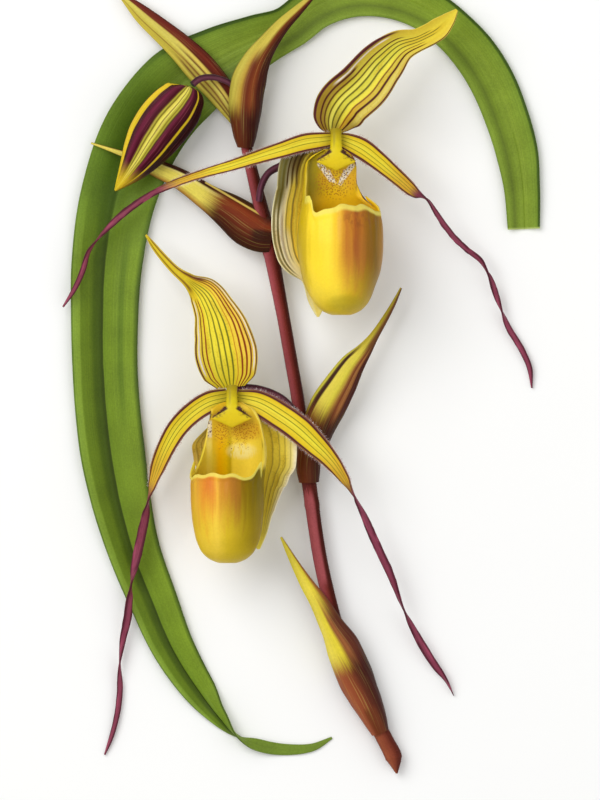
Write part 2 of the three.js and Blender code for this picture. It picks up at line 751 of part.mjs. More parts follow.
// Pouch of the lower flower.
const LOWER_LIP = [
  [228, 564, 23.5, 1.2, 0.3, 0.3],
  [228, 561.5, 23.5, 12, 3.8, 3.8],
  [228, 557.5, 23.6, 20, 6.5, 6.5],
  [228, 550, 23.8, 27, 9, 9],
  [228, 535, 24, 32.7, 11.6, 11.6],
  [227.5, 515, 24, 35.5, 12.6, 12.8],
  [227.5, 495, 24, 36.5, 12.8, 12.8],
  [228, 478, 23.8, 36.5, 12.2, 11.4],
  [231, 465, 23.2, 35.2, 11.2, 9.2],
  [234, 450, 22.4, 33, 9.2, 6.8],
  [234, 432, 21.4, 29.5, 7.4, 4.4],
  [233, 417, 20.8, 26, 5.8, 2.2],
  [232, 409, 20.5, 22, 4, 1.2],
  [232, 402, 19.5, 10, 2.5, 0.8],
];

// The shape that both columns share, from the root to the tip of the broad shield:
// [how far down the plan, rise above the root, half width, half depth].
const COLUMN_SHAPE = [
  [0, 0, 5.6, 1.2],
  [9, 1, 5.5, 1.5],
  [18, 1.7, 5.8, 1.5],
  [23, 2.2, 9, 1.3],
  [28, 2.5, 15, 1.1],
  [32, 2.6, 19.5, 0.9],
  [37, 2.6, 10, 0.7],
  [41, 2.5, 2, 0.4],
];

// Where the columns start: [right, down, height].
const UPPER_COLUMN_ROOT = [336, 130, 22];
const LOWER_COLUMN_ROOT = [232, 386, 19.8];

// How far up each lip's wall reaches, as shares of the way from toe to column.
const UPPER_RIM = { shoulder: 0.49, front: 0.65, corner: 0.6, horn: 0.715, back: 1, turn: 20 };
const LOWER_RIM = { shoulder: 0.45, front: 0.55, corner: 0.53, horn: 0.63, back: 1, turn: -20 };

// ---------------------------------------------------------------- the pieces

/** A named mesh with its own material. */
function piece(name, geometry, finish) {
  const mesh = new THREE.Mesh(geometry, new THREE.MeshStandardMaterial({ ...finish, metalness: 0 }));
  mesh.name = name;
  return mesh;
}

/** The strap leaf. */
function makeLeaf() {
  return blade(LEAF, {
    thick: LEAF_THICK, along: LEAF_STEPS, shares: LEAF_SHARES, section: channelSection,
  });
}

/** The flower stalk; grow widens it, to make room round it. */
function makeStalk(grow = 0) {
  return stem(STALK, { sides: STALK_SIDES, along: STALK_STEPS, grow });
}

/** An ovary or the bud's stalk; grow widens it, to make room round it. */
function makeOvary(rows, grow = 0) {
  return stem(rows, { sides: OVARY_SIDES, along: OVARY_STEPS, grow });
}

/** A bract with a keel along its midrib, cut back where a stalk or an ovary runs through it. */
function makeBract(rows, { along, keel, clear = [] }) {
  const sheath = blade(rows, { thick: BRACT_THICK, along, shares: evenShares(BRACT_ACROSS), keel });
  return clear.length > 0 ? trimmed(sheath, clear) : sheath;
}

/** The closed bud, ribbed and a little flattened. */
function makeBud() {
  return stem(BUD, {
    sides: BUD_SIDES,
    along: BUD_STEPS,
    flatten: BUD_DEPTH,
    ribs: BUD_RIBS,
    ribHeight: BUD_RIB_HEIGHT,
  });
}

/** A petal with its tail. */
function makePetal(rows, along) {
  return blade(rows, {
    thick: PETAL_THICK,
    along,
    shares: evenShares(PETAL_ACROSS),
    wave: PETAL_WAVE,
    waves: PETAL_WAVES,
  });
}

/** A dorsal sepal or a synsepal. */
function makeSepal(rows, along) {
  return blade(rows, { thick: SEPAL_THICK, along, shares: evenShares(SEPAL_ACROSS) });
}

/** A column with its shield, from its root. */
function makeColumn([right, down, height]) {
  const rows = COLUMN_SHAPE.map(
    ([further, rise, half, deep]) => [right, down + further, height + rise, half, deep],
  );
  return stem(rows, { sides: COLUMN_SIDES, along: COLUMN_STEPS });
}

/** The meshes of one flower: ovary, sepals, petals, lip and column. */
function makeFlower(name, { ovary, dorsal, synsepal, left, right, levels, rim, columnRoot, steps }) {
  return [
    piece(`${name}_ovary`, makeOvary(ovary), FINISH.ovary),
    piece(`${name}_dorsal_sepal`, makeSepal(dorsal, steps.dorsal), FINISH.dorsalSepal),
    piece(`${name}_synsepal`, makeSepal(synsepal, steps.synsepal), FINISH.synsepal),
    piece(`${name}_petal_left`, makePetal(left, steps.left), FINISH.petal),
    piece(`${name}_petal_right`, makePetal(right, steps.right), FINISH.petal),
    piece(`${name}_lip`, lip(levels, rim), FINISH.lip),
    piece(`${name}_column`, makeColumn(columnRoot), FINISH.column),
  ];
}

const stalkRoom = makeStalk(GAP);
const budStalkRoom = makeOvary(BUD_STALK, GAP);
const lowerOvaryRoom = makeOvary(LOWER_OVARY, GAP);
const upperOvaryRoom = makeOvary(UPPER_OVARY, GAP);

// Each bract's rows, with its faces from base to tip, its keel and what runs through it.
const bracts = [
  { rows: BRACT_1, along: 14, keel: 0.5, clear: [stalkRoom], finish: FINISH.lowestBract },
  { rows: BRACT_2, along: 16, keel: 0.6, clear: [stalkRoom, lowerOvaryRoom], finish: FINISH.bract },
  { rows: BRACT_3, along: 12, keel: 0.6, clear: [stalkRoom, upperOvaryRoom], finish: FINISH.bract },
  { rows: BRACT_4, along: 14, keel: 0.6, clear: [stalkRoom, budStalkRoom], finish: FINISH.bract },
  { rows: BRACT_5, along: 12, keel: 0.4, finish: FINISH.bract },
];

const orchid = new THREE.Group();
orchid.add(
  piece('leaf', makeLeaf(), FINISH.leaf),
  piece('flower_stalk', makeStalk(), FINISH.stalk),
  ...bracts.map((bract, i) => piece(`bract_${i + 1}`, makeBract(bract.rows, bract), bract.finish)),
  piece('bud_stalk', makeOvary(BUD_STALK), FINISH.ovary),
  piece('bud', makeBud(), FINISH.bud),
  ...makeFlower('upper', {
    ovary: UPPER_OVARY,
    dorsal: UPPER_DORSAL,
    synsepal: UPPER_SYNSEPAL,
    left: UPPER_PETAL_LEFT,
    right: UPPER_PETAL_RIGHT,
    levels: UPPER_LIP,
    rim: UPPER_RIM,
    columnRoot: UPPER_COLUMN_ROOT,
    steps: { dorsal: 13, synsepal: 11, left: 34, right: 36 },
  }),
  ...makeFlower('lower', {
    ovary: LOWER_OVARY,
    dorsal: LOWER_DORSAL,
    synsepal: LOWER_SYNSEPAL,
    left: LOWER_PETAL_LEFT,
    right: LOWER_PETAL_RIGHT,
    levels: LOWER_LIP,
    rim: LOWER_RIM,
    columnRoot: LOWER_COLUMN_ROOT,
    steps: { dorsal: 15, synsepal: 11, left: 40, right: 38 },
  }),
);

// The origin is the middle of the footprint, on the table.
const bounds = new THREE.Box3().setFromObject(orchid);
const middle = bounds.getCenter(new THREE.Vector3());
orchid.position.set(-middle.x, -middle.y, -bounds.min.z);

export default orchid;
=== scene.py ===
"""A cut slipper orchid stalk and its strap leaf, lying on a pale studio floor.

Every leaf, bract, sepal and petal is a thin shell lofted along its midrib, every stalk a round
loft and each lip a hollow pouch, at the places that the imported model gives. Lengths are metres.
Hairs, fringes and warts are grown on those surfaces by Geometry Nodes.
"""

import logging
import math
from dataclasses import dataclass, field
from enum import Enum
from functools import partial, reduce
from typing import Optional, Protocol, Sequence, Union

import bpy
import numpy as np
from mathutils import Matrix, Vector


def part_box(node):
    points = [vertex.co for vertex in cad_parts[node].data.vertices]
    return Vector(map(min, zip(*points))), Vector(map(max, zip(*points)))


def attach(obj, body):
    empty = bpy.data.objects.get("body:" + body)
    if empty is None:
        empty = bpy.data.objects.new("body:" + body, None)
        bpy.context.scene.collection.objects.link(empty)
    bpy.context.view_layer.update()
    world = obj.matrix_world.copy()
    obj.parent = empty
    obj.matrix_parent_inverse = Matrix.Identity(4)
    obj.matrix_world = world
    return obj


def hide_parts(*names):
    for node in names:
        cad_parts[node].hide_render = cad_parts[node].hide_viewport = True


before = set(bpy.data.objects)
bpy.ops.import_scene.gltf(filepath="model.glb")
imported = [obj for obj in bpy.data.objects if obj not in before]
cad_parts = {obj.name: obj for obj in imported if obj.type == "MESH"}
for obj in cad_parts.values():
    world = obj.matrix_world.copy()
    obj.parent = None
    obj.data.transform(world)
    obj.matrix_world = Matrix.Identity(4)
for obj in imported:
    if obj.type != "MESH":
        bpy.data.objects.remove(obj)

LOG = logging.getLogger("orchid")

MM = 0.001
GRID = MM / 3  # one unit of the plan that the pieces are laid out on
PLAN_MIDDLE = (302.0, 389.0)  # the grid point that the plan is measured from
PATH_STEP = 0.004  # share of a path over which its direction is measured
STALK_RINGS, STALK_SIDES = 37, 10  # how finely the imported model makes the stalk
LEAF_FLAT = 0.24  # share of the leaf's half width that lies flat under its channel
LEAF_THICK, BRACT_THICK, SEPAL_THICK, PETAL_THICK = 0.8 * MM, 0.7 * MM, 0.7 * MM, 0.66 * MM
SHIELD_TOP = 22  # grid units from a column's root down to its shield's upper edge
SHARP_EDGE = math.radians(70)  # faces that meet at more than this keep a sharp edge

Rows = Sequence[Sequence[float]]
Array = np.ndarray
Material = bpy.types.Material
Mesh = bpy.types.Mesh
Span = tuple[float, float]
Place = tuple[float, float, float]
Pair = tuple[Array, Array]
Colour = tuple[float, float, float]  # red, green and blue in steps of 0 to 255
Socket = bpy.types.NodeSocket
Value = Union[float, Socket]
Paint = Union[Colour, Socket]


def tone(red: float, green: float, blue: float) -> tuple[float, ...]:
    """A colour as the shaders want it."""
    shares = [part / 255 for part in (red, green, blue)]
    return (*[s / 12.92 if s <= 0.04045 else ((s + 0.055) / 1.055) ** 2.4 for s in shares], 1.0)


def smooth(low: float, high: float, value: Array) -> Array:
    """A soft step from 0 at low to 1 at high."""
    share = np.clip((value - low) / (high - low), 0, 1)
    return share * share * (3 - 2 * share)


def bell(value: Array, centre: float, width: float) -> Array:
    """A soft ridge of height 1 about a centre."""
    return np.exp(-(((value - centre) / width) ** 2))


# ---------------------------------------------------------------- rows of the plan

# Each row is right and down in grid units, height in millimetres, half width in grid units, and
# for a blade its turn and bend in degrees, for a lip its depth to the front and to the back in
# millimetres. The leaf's bend is how far its sides rise, in millimetres.

LEAF = [
    (524, 229, 0.4, 16, 0, 1.2), (522, 187, 0.4, 18, 0, 1.8), (517, 152, 0.4, 21, 0, 2),
    (506.5, 116, 0.4, 22, 0, 2.2), (492.5, 82, 0.4, 22.5, 0, 2.2), (475, 54, 0.4, 22.3, 0, 2.2),
    (453, 30, 0.4, 21.5, 0, 2.2), (425, 9, 0.4, 21.5, 0, 2), (390, -4, 0.4, 22, 0, 2),
    (352, -6, 0.4, 23, 0, 2), (316, 7, 0.4, 22, 0, 2), (289, 27, 0.4, 22, 0, 2),
    (258, 41, 0.4, 27, 0, 2.2), (222, 59, 0.4, 34, 0, 2.4), (177, 89.5, 0.4, 41.2, 0, 2.4),
    (148, 125, 0.4, 41, 0, 2.4), (119, 194, 0.4, 38, 0, 2.4), (107, 262, 0.4, 35.5, 0, 2.4),
    (104.5, 320, 0.4, 33.5, 0, 2.4), (105.5, 380, 0.4, 32.5, 0, 2.4), (111, 441, 0.4, 32.5, 0, 2.4),
    (120.5, 498, 0.4, 29.8, 0, 2.4), (134.5, 552, 0.4, 26, 0, 2.2), (153, 600, 0.4, 24, 0, 2),
    (173.3, 648, 0.4, 21, 0, 1.8), (199.5, 690.5, 0.4, 16.5, 0, 1.4),
    (220.5, 718, 2.2, 9.8, 30, 0.8), (239.5, 737.5, 2.8, 6.8, 95, 0.3),
    (263, 746.5, 1.6, 6.3, 165, 0), (289, 749.8, 0.6, 5.4, 180, 0), (314, 747.3, 0.5, 3.6, 180, 0),
    (332, 738, 0.4, 1, 180, 0),
]
STALK = [
    (396.8, 773.64, 3, 0.9), (394, 758.4, 3.2, 8), (393.6, 757, 3.2, 8.5), (386.3, 742, 3.5, 8.1),
    (372.5, 716, 4.1, 8), (360, 690, 4.6, 7.6), (348, 662, 5, 7.2), (337, 628, 5.3, 7),
    (328, 594, 5.5, 7), (320.5, 560, 5.6, 7), (315, 526, 5.7, 7), (311.5, 500, 5.8, 7.2),
    (309, 482, 5.8, 7.3), (306, 462, 5.8, 7.2), (302, 430, 5.8, 7), (298, 400, 5.8, 6.4),
    (291, 360, 5.9, 6.4), (284.3, 322, 6, 6.4), (277.5, 286, 6.1, 6.9), (271.7, 256, 6.2, 7.6),
    (266.5, 232, 6.3, 8), (261, 208, 6.4, 7.2), (254, 180, 6.5, 6.2), (247.5, 152, 6.6, 5.6),
    (242.5, 124, 6.8, 5.1), (240, 102, 7.1, 4.6),
]
BRACT_1 = [
    (380.8, 733.5, 6.9, 8.8, 0, -150), (373.5, 716, 8.2, 12, 0, -138),
    (365, 698, 9.3, 15.2, 0, -115), (354, 677, 10.2, 17.5, -5, -100),
    (340.5, 651, 10.6, 17, -15, -90), (329, 628, 10.4, 13, -25, -75),
    (317, 603, 9.8, 9.6, -25, -60), (305, 582, 9, 6.5, -15, -50), (293, 560, 8.4, 3.6, -5, -45),
    (281, 537, 8, 1, 0, -40),
]
BRACT_2 = [
    (309, 483, 9.4, 9.8, 0, -140), (308.5, 462, 10, 11.8, 0, -115), (316.5, 432, 11, 15.8, 0, -85),
    (327.5, 407, 12, 18, 0, -65), (340.3, 385, 12.6, 16, 0, -55), (352.3, 365, 12.8, 12.3, 0, -50),
    (364.5, 350, 12.8, 7.6, 0, -50), (375.5, 334, 12.7, 4, 0, -55), (384.8, 319, 12.4, 2.8, 0, -60),
    (393.8, 303, 12, 1.9, 0, -60), (401, 288, 11.6, 0.9, 0, -60),
]
BRACT_3 = [
    (272, 235.5, 9.9, 16.8, 0, -18), (262, 233.5, 9.7, 19, 0, -28), (249, 226, 9.3, 21, 0, -40),
    (230, 212, 8.4, 18, 0, -50), (207, 197, 7.2, 13, 0, -50), (180, 179, 5.8, 10.3, 0, -40),
    (154, 167, 4.9, 8.5, 0, -30), (135, 158, 4.5, 5, 0, -25), (119, 152.5, 4.4, 2.6, 0, -20),
    (91, 143, 4.3, 0.9, 0, -20),
]
BRACT_4 = [
    (245.5, 148, 9.5, 7.9, 0, -140), (245, 130, 10.4, 12.4, 0, -110),
    (245.5, 105, 11.4, 16.7, 0, -80), (248.5, 83, 11.8, 17.3, 0, -60),
    (256.3, 62, 11.6, 14, 0, -55), (270, 41, 11, 9.5, 0, -55), (284, 24, 10.5, 7, 0, -55),
    (297.5, 11, 10.1, 5, 0, -55), (309, 0, 9.8, 3, 0, -50), (319, -10, 9.5, 0.9, 0, -45),
]
BRACT_5 = [
    (238, 120, 4, 8, 0, -10), (223, 95, 5.2, 13.5, 0, -20), (200.5, 68, 5.3, 15.5, 0, -22),
    (179.5, 46.5, 5.2, 13.3, 0, -22), (160, 29.5, 5, 11.2, 0, -22), (143, 15, 4.8, 9, 0, -22),
    (130, 3, 4.5, 5.5, 0, -20), (117, -8, 4.3, 0.9, 0, -20),
]
BUD_STALK = [
    (239, 92, 7, 3), (231, 84, 6.9, 3), (220, 79, 7.8, 3), (208, 77.5, 9.6, 3.2),
    (198.5, 80, 11.2, 3.4), (192.7, 84.8, 12.1, 3.5),
]
BUD = [
    (190.3, 87, 12.5, 4), (189.9, 88.3, 12.5, 9.5), (189, 90.6, 12.6, 14.5),
    (187.2, 94, 12.7, 18.8), (182.6, 100, 12.8, 22.8), (175, 109.5, 12.8, 25.8),
    (165.3, 121, 12.6, 26.8), (153.6, 137, 12, 25.3), (145.4, 149.7, 11.4, 22),
    (134.4, 166.4, 10.4, 15.2), (122.3, 182.2, 9.4, 6.5), (115.2, 190.8, 9, 1),
]
UPPER_OVARY = [
    (259, 201, 10.2, 3.2), (261, 188, 11.6, 3.4), (268, 174, 13.2, 3.6), (284, 165, 14.4, 4),
    (303, 158, 15.2, 4.6), (320, 150, 15.6, 5.2), (335, 141, 16, 6.2),
]
LOWER_OVARY = [
    (300, 421, 9.4, 3.2), (292, 408, 11, 3.4), (282, 398.5, 12.2, 3.6), (268, 392, 12.8, 4),
    (252, 389, 13, 4.8), (236, 391, 13.2, 7),
]
UPPER_DORSAL = [
    (332.5, 134.5, 17, 5, 0, 8), (333, 129.5, 17.4, 14.5, 0, 10), (335, 120, 18.4, 22.5, 0, 18),
    (343, 105.5, 20.6, 26.3, 0, 34), (363, 87, 22.4, 26, 0, 40), (381, 65, 22.8, 23, 0, 40),
    (399, 48, 21.6, 16.5, 0, 45), (420, 40, 19.8, 11, 0, 50), (436, 31.3, 18, 10.8, 0, 50),
    (447.8, 20.6, 16.6, 7, 0, 45), (456.5, 10.8, 15.6, 1.5, 0, 40),
]
LOWER_DORSAL = [
    (231, 387, 15.6, 14.5, 0, 10), (229.5, 374, 16.8, 26.5, 0, 30), (226, 352, 18.6, 31, 0, 40),
    (221.5, 330, 19.4, 27.3, 0, 45), (214.5, 310, 18.6, 20.5, 0, 50),
    (205, 293.5, 16.8, 15.8, 0, 55), (190, 281.5, 14.8, 7, 0, 60), (175.5, 270.5, 12.8, 4.3, 0, 60),
    (165, 259.5, 11.2, 3.6, 0, 60), (155, 247.5, 9.8, 2.8, 0, 55), (146, 235, 8.8, 0.9, 0, 50),
]
UPPER_SYNSEPAL = [
    (330, 150, 18.5, 11, 0, 10), (318, 165, 16.6, 38, -8, 30), (314, 190, 13.4, 41, -12, 35),
    (311, 220, 11.2, 43, -12, 35), (312, 250, 10.6, 39.5, -12, 35), (319.5, 279, 11, 21, -10, 35),
    (317.5, 302, 12, 9.5, -5, 30), (318, 317, 12.8, 1.2, 0, 25),
]
LOWER_SYNSEPAL = [
    (236, 404, 15.7, 12, 0, 10), (241, 416, 14.2, 37, 6, 20), (246, 438, 11, 53, 10, 30),
    (248, 461, 8.6, 52, 12, 32), (247.8, 474, 8, 45.2, 12, 34), (247.5, 488, 7.6, 40.3, 12, 35),
    (251, 515, 7.8, 26, 10, 35), (256, 535, 8.6, 12, 5, 30), (259, 549, 9.2, 1.2, 0, 25),
]
UPPER_PETAL_LEFT = [
    (333.5, 139.5, 19.8, 6.8, 0, 12), (322, 141, 20.5, 8, 0, 16), (307, 143, 21.5, 9, 0, 22),
    (280, 151, 23, 7.8, 0, 25), (254, 159, 23, 6.5, 0, 25), (230, 166.5, 21.5, 5.3, 0, 25),
    (207, 173, 19, 4.5, 0, 25), (180, 182, 16, 3.8, 10, 20), (156, 192, 13, 3.5, 30, 15),
    (134, 206, 10.4, 3.5, 20, 10), (113, 223, 8.6, 3.8, 40, 10), (98, 239, 7.4, 3.6, 80, 10),
    (89, 252, 6.7, 3.2, 120, 10), (83, 270, 6.1, 3, 160, 10), (74, 290, 5.3, 2.4, 180, 10),
    (63, 307, 4.7, 0.9, 200, 10),
]
UPPER_PETAL_RIGHT = [
    (338.5, 139.5, 19.8, 6.5, 0, 12), (347, 142.5, 20, 8.8, 0, 16), (361, 149, 20.2, 10.5, 0, 22),
    (378, 161.5, 19.6, 9.3, 0, 25), (394, 175, 18.2, 7.8, 0, 25), (407.5, 186.5, 16.4, 6.8, 10, 25),
    (417, 194.5, 15, 5, 35, 20), (425, 198.5, 13.8, 2.6, 90, 12), (435, 211.5, 12, 2.6, 140, 10),
    (445, 226, 10.4, 2.8, 165, 10), (454, 237.5, 9, 2.8, 180, 10), (467, 249.5, 7.6, 2.7, 195, 10),
    (480.5, 260.5, 6.2, 3, 215, 10), (487, 272, 5.2, 2.8, 270, 10), (492, 283, 4.4, 3, 335, 10),
    (499.5, 305, 3.2, 3, 420, 10), (508.5, 327, 2.6, 3.1, 510, 10), (522, 350, 2, 3, 540, 10),
    (529.5, 367, 1.5, 2.8, 560, 10), (532, 388, 0.8, 0.9, 580, 10),
]
LOWER_PETAL_LEFT = [
    (228, 397.5, 17, 9.5, 0, 12), (209, 402.5, 17.4, 11, 0, 22), (192.5, 413, 17, 10.6, 0, 25),
    (178.5, 427, 16, 10.2, 0, 25), (167.5, 445, 14.6, 9.2, 0, 25), (159.3, 464, 13, 7.8, 5, 25),
    (153.8, 481, 11.6, 5.2, 30, 20), (148.5, 500, 10.2, 3.6, 90, 12), (145.5, 518, 9, 4.5, 150, 10),
    (140, 542, 7.8, 4.5, 180, 10), (135.5, 563, 7, 4.5, 210, 10), (131, 586, 6.4, 3.6, 270, 10),
    (128.7, 602, 5.6, 4, 325, 10), (127.5, 618, 4.8, 4, 360, 10), (122.7, 640, 3.6, 3.4, 390, 10),
    (119.7, 664, 2.6, 3, 450, 10), (120, 688, 2, 3, 520, 10), (116.7, 716, 1.6, 2.8, 540, 10),
    (110.3, 740, 1.1, 2.2, 560, 10), (104.5, 755, 0.7, 0.9, 580, 10),
]
LOWER_PETAL_RIGHT = [
    (237, 398, 17, 8.5, 0, 12), (258, 403, 18.4, 12.5, 0, 22), (280, 415.5, 19.8, 13.5, 0, 25),
    (299, 429, 20.6, 13.5, 0, 25), (314, 443, 20.2, 12, 0, 25), (329, 458, 18.8, 9, 5, 25),
    (344, 478, 16.6, 5.8, 25, 20), (354.5, 496, 14.8, 3.6, 85, 12), (362, 511, 13.4, 3.6, 140, 10),
    (370.5, 531, 11.8, 4, 175, 10), (380, 552, 10.2, 4, 185, 10), (387, 567, 9, 4, 195, 10),
    (394.5, 586, 7.8, 3.6, 225, 10), (404.5, 611, 6.2, 2.8, 270, 10),
    (411.5, 626, 5.2, 3.2, 325, 10), (424.5, 649, 3.8, 4, 360, 10), (435.5, 666, 2.8, 3.7, 375, 10),
    (446, 680, 2, 3, 420, 10), (454, 696, 0.8, 0.9, 450, 10),
]
UPPER_LIP = [
    (341, 317, 26.5, 1.2, 0.3, 0.3), (341, 314.5, 26.5, 12, 3.8, 3.8),
    (341, 310.5, 26.6, 20, 6.5, 6.5), (341, 303, 26.8, 27, 9, 9), (340, 288, 27, 34.5, 11.8, 11.8),
    (340.5, 268, 27, 40.5, 13, 13.2), (340, 245, 27, 43, 13.2, 13.5),
    (340, 225, 26.8, 42, 12.6, 12), (339, 210, 26.2, 38.5, 11.6, 9.6),
    (332, 195, 24.6, 29.5, 9.5, 6.6), (331, 180, 23.2, 27.3, 7.5, 4.2), (332, 166, 22.2, 27, 6, 2),
    (333, 158, 21.9, 23, 4, 1.1), (335, 150, 21.7, 11, 2.5, 0.8),
]
LOWER_LIP = [
    (228, 564, 23.5, 1.2, 0.3, 0.3), (228, 561.5, 23.5, 12, 3.8, 3.8),
    (228, 557.5, 23.6, 20, 6.5, 6.5), (228, 550, 23.8, 27, 9, 9), (228, 535, 24, 32.7, 11.6, 11.6),
    (227.5, 515, 24, 35.5, 12.6, 12.8), (227.5, 495, 24, 36.5, 12.8, 12.8),
    (228, 478, 23.8, 36.5, 12.2, 11.4), (231, 465, 23.2, 35.2, 11.2, 9.2),
    (234, 450, 22.4, 33, 9.2, 6.8), (234, 432, 21.4, 29.5, 7.4, 4.4),
    (233, 417, 20.8, 26, 5.8, 2.2), (232, 409, 20.5, 22, 4, 1.2), (232, 402, 19.5, 10, 2.5, 0.8),
]
COLUMN_SHAPE = [  # down and up from the column's root, half width and half depth
    (0, 0, 5.6, 1.2), (9, 1, 5.5, 1.5), (18, 1.7, 5.8, 1.5), (23, 2.2, 9, 1.3), (28, 2.5, 15, 1.1),
    (32, 2.6, 19.5, 0.9), (37, 2.6, 10, 0.7), (41, 2.5, 2, 0.4),
]


# ---------------------------------------------------------------- paths and skins


class Path:
    """A smooth curve through rows of numbers: a place, then whatever changes along it."""

    def __init__(self, rows: Array) -> None:
        """Measures the rows and the slopes between them.

        Args:
            rows: One row a place, each starting with x, y and z in metres.
        """
        self.rows = rows
        steps = np.linalg.norm(np.diff(rows[:, :3], axis=0), axis=1)
        self.knots = np.concatenate([[0.0], np.cumsum(steps)])
        self.slopes = self._slopes()

    def _slopes(self) -> Array:
        """Works out the slopes at the rows: x and y run on smoothly, the rest never overshoot.

        Returns:
            One slope a row, in the rows' units a metre.
        """
        secants = np.diff(self.rows, axis=0) / np.diff(self.knots)[:, None]
        slopes = np.empty_like(self.rows)
        slopes[0], slopes[-1] = secants[0], secants[-1]
        left, right = secants[:-1], secants[1:]
        share = (np.diff(self.knots)[:-1] / (self.knots[2:] - self.knots[:-2]))[:, None]
        total = np.where(np.abs(left + right) < 1e-12, 1.0, left + right)
        slopes[1:-1] = np.where(left * right > 0, 2 * left * right / total, 0.0)
        slopes[1:-1, :2] = (left * (1 - share) + right * share)[:, :2]
        return slopes

    def at(self, share: Array) -> Array:
        """The rows at shares of the way along.

        Args:
            share: Places from 0 to 1, in any shape.

        Returns:
            One row a place, in that shape with the row's numbers last.
        """
        target = np.asarray(share, float) * self.knots[-1]
        index = np.searchsorted(self.knots, target, side="left") - 1
        index = np.clip(index, 0, len(self.knots) - 2)
        span = (self.knots[index + 1] - self.knots[index])[..., None]
        s = np.clip((target - self.knots[index])[..., None] / span, 0, 1)
        start, end = self.rows[index], self.rows[index + 1]
        out, into = self.slopes[index] * span, self.slopes[index + 1] * span
        return (
            (2 * s**3 - 3 * s**2 + 1) * start
            + (s**3 - 2 * s**2 + s) * out
            + (3 * s**2 - 2 * s**3) * end
            + (s**3 - s**2) * into
        )

    def share_of(self, row: float) -> float:
        """How far along a row lies, as a share; 3.5 is halfway from row 3 to row 4."""
        place = np.interp(row, np.arange(len(self.knots)), self.knots)
        return float(place / self.knots[-1])

    def frames(self, share: Array, roll: Array) -> Pair:
        """The side and face directions of what lies along the path.

        Args:
            share: Places from 0 to 1.
            roll: How far the face is turned about the path, in degrees.

        Returns:
            Unit vectors to the side and out of the face.
        """
        ahead = self.at(np.minimum(share + PATH_STEP, 1))[:, :3]
        back = self.at(np.maximum(share - PATH_STEP, 0))[:, :3]
        forward = unit(ahead - back)
        face = unit(np.array([0.0, 0.0, 1.0]) - forward * forward[:, 2:3])
        angle = np.radians(roll)[:, None]
        face = face * np.cos(angle) + np.cross(forward, face) * np.sin(angle)
        return np.cross(forward, face), face


class Plan:
    """The grid that the pieces are laid out on, and where it lies in the frame."""

    def __init__(self) -> None:
        """Finds the plan's place from the stalk's box, which the same rows make."""
        self.shift = np.zeros(3)
        lowest, highest = (np.array(corner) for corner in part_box("flower_stalk"))
        stalk = Path(self.metres(STALK))
        share = np.linspace(0, 1, STALK_RINGS)
        side, face = stalk.frames(share, np.zeros(len(share)))
        row = stalk.at(share)
        angle = (2 * np.pi * (np.arange(STALK_SIDES) + 0.5) / STALK_SIDES)[None, :, None]
        round_it = np.sin(angle) * face[:, None] - np.cos(angle) * side[:, None]
        ring = (row[:, None, :3] + row[:, None, 3:4] * round_it).reshape(-1, 3)
        middle = (ring.min(0) + ring.max(0)) / 2
        self.shift = (lowest + highest) / 2 - middle
        self.shift[2] = 0.0

    def metres(self, rows: Rows, depths: Sequence[int] = ()) -> Array:
        """Rows of the plan in metres, in the frame.

        Args:
            rows: Rows of right, down, height, half width and the rest.
            depths: Further columns that are lengths in millimetres.

        Returns:
            The rows, with places, widths and those columns in metres.
        """
        made = np.array(rows, float)
        made[:, 0] = (made[:, 0] - PLAN_MIDDLE[0]) * GRID + self.shift[0]
        made[:, 1] = (PLAN_MIDDLE[1] - made[:, 1]) * GRID + self.shift[1]
        made[:, 2] *= MM
        made[:, 3] *= GRID
        made[:, list(depths)] *= MM
        return made


def unit(vectors: Array) -> Array:
    """Vectors brought to a length of 1."""
    return vectors / np.linalg.norm(vectors, axis=-1)[..., None]


def carry(mesh: Mesh, label: str, values: Array) -> None:
    """Gives a mesh one number for each point, under a name that its material reads."""
    attribute = mesh.attributes.new(label, "FLOAT", "POINT")
    attribute.data.foreach_set("value", values.astype(np.float32).reshape(-1))


def walls(index: Array) -> Array:
    """The faces between rings of points."""
    after = np.roll(index, -1, axis=1)
    return np.stack([index[:-1], after[:-1], after[1:], index[1:]], axis=-1).reshape(-1, 4)


def cut_out(whole: Mesh, name: str, faces: Sequence[Sequence[int]]) -> Mesh:
    """A mesh of some of another's faces.

    Args:
        whole: The other mesh, which is removed.
        name: The new mesh's name.
        faces: The faces, by the numbers of their points.

    Returns:
        The new mesh.
    """
    used = sorted({index for face in faces for index in face})
    renamed = {index: place for place, index in enumerate(used)}
    made = bpy.data.meshes.new(name)
    places = [tuple(whole.vertices[index].co) for index in used]
    made.from_pydata(places, [], [[renamed[index] for index in face] for face in faces])
    bpy.data.meshes.remove(whole)
    return made


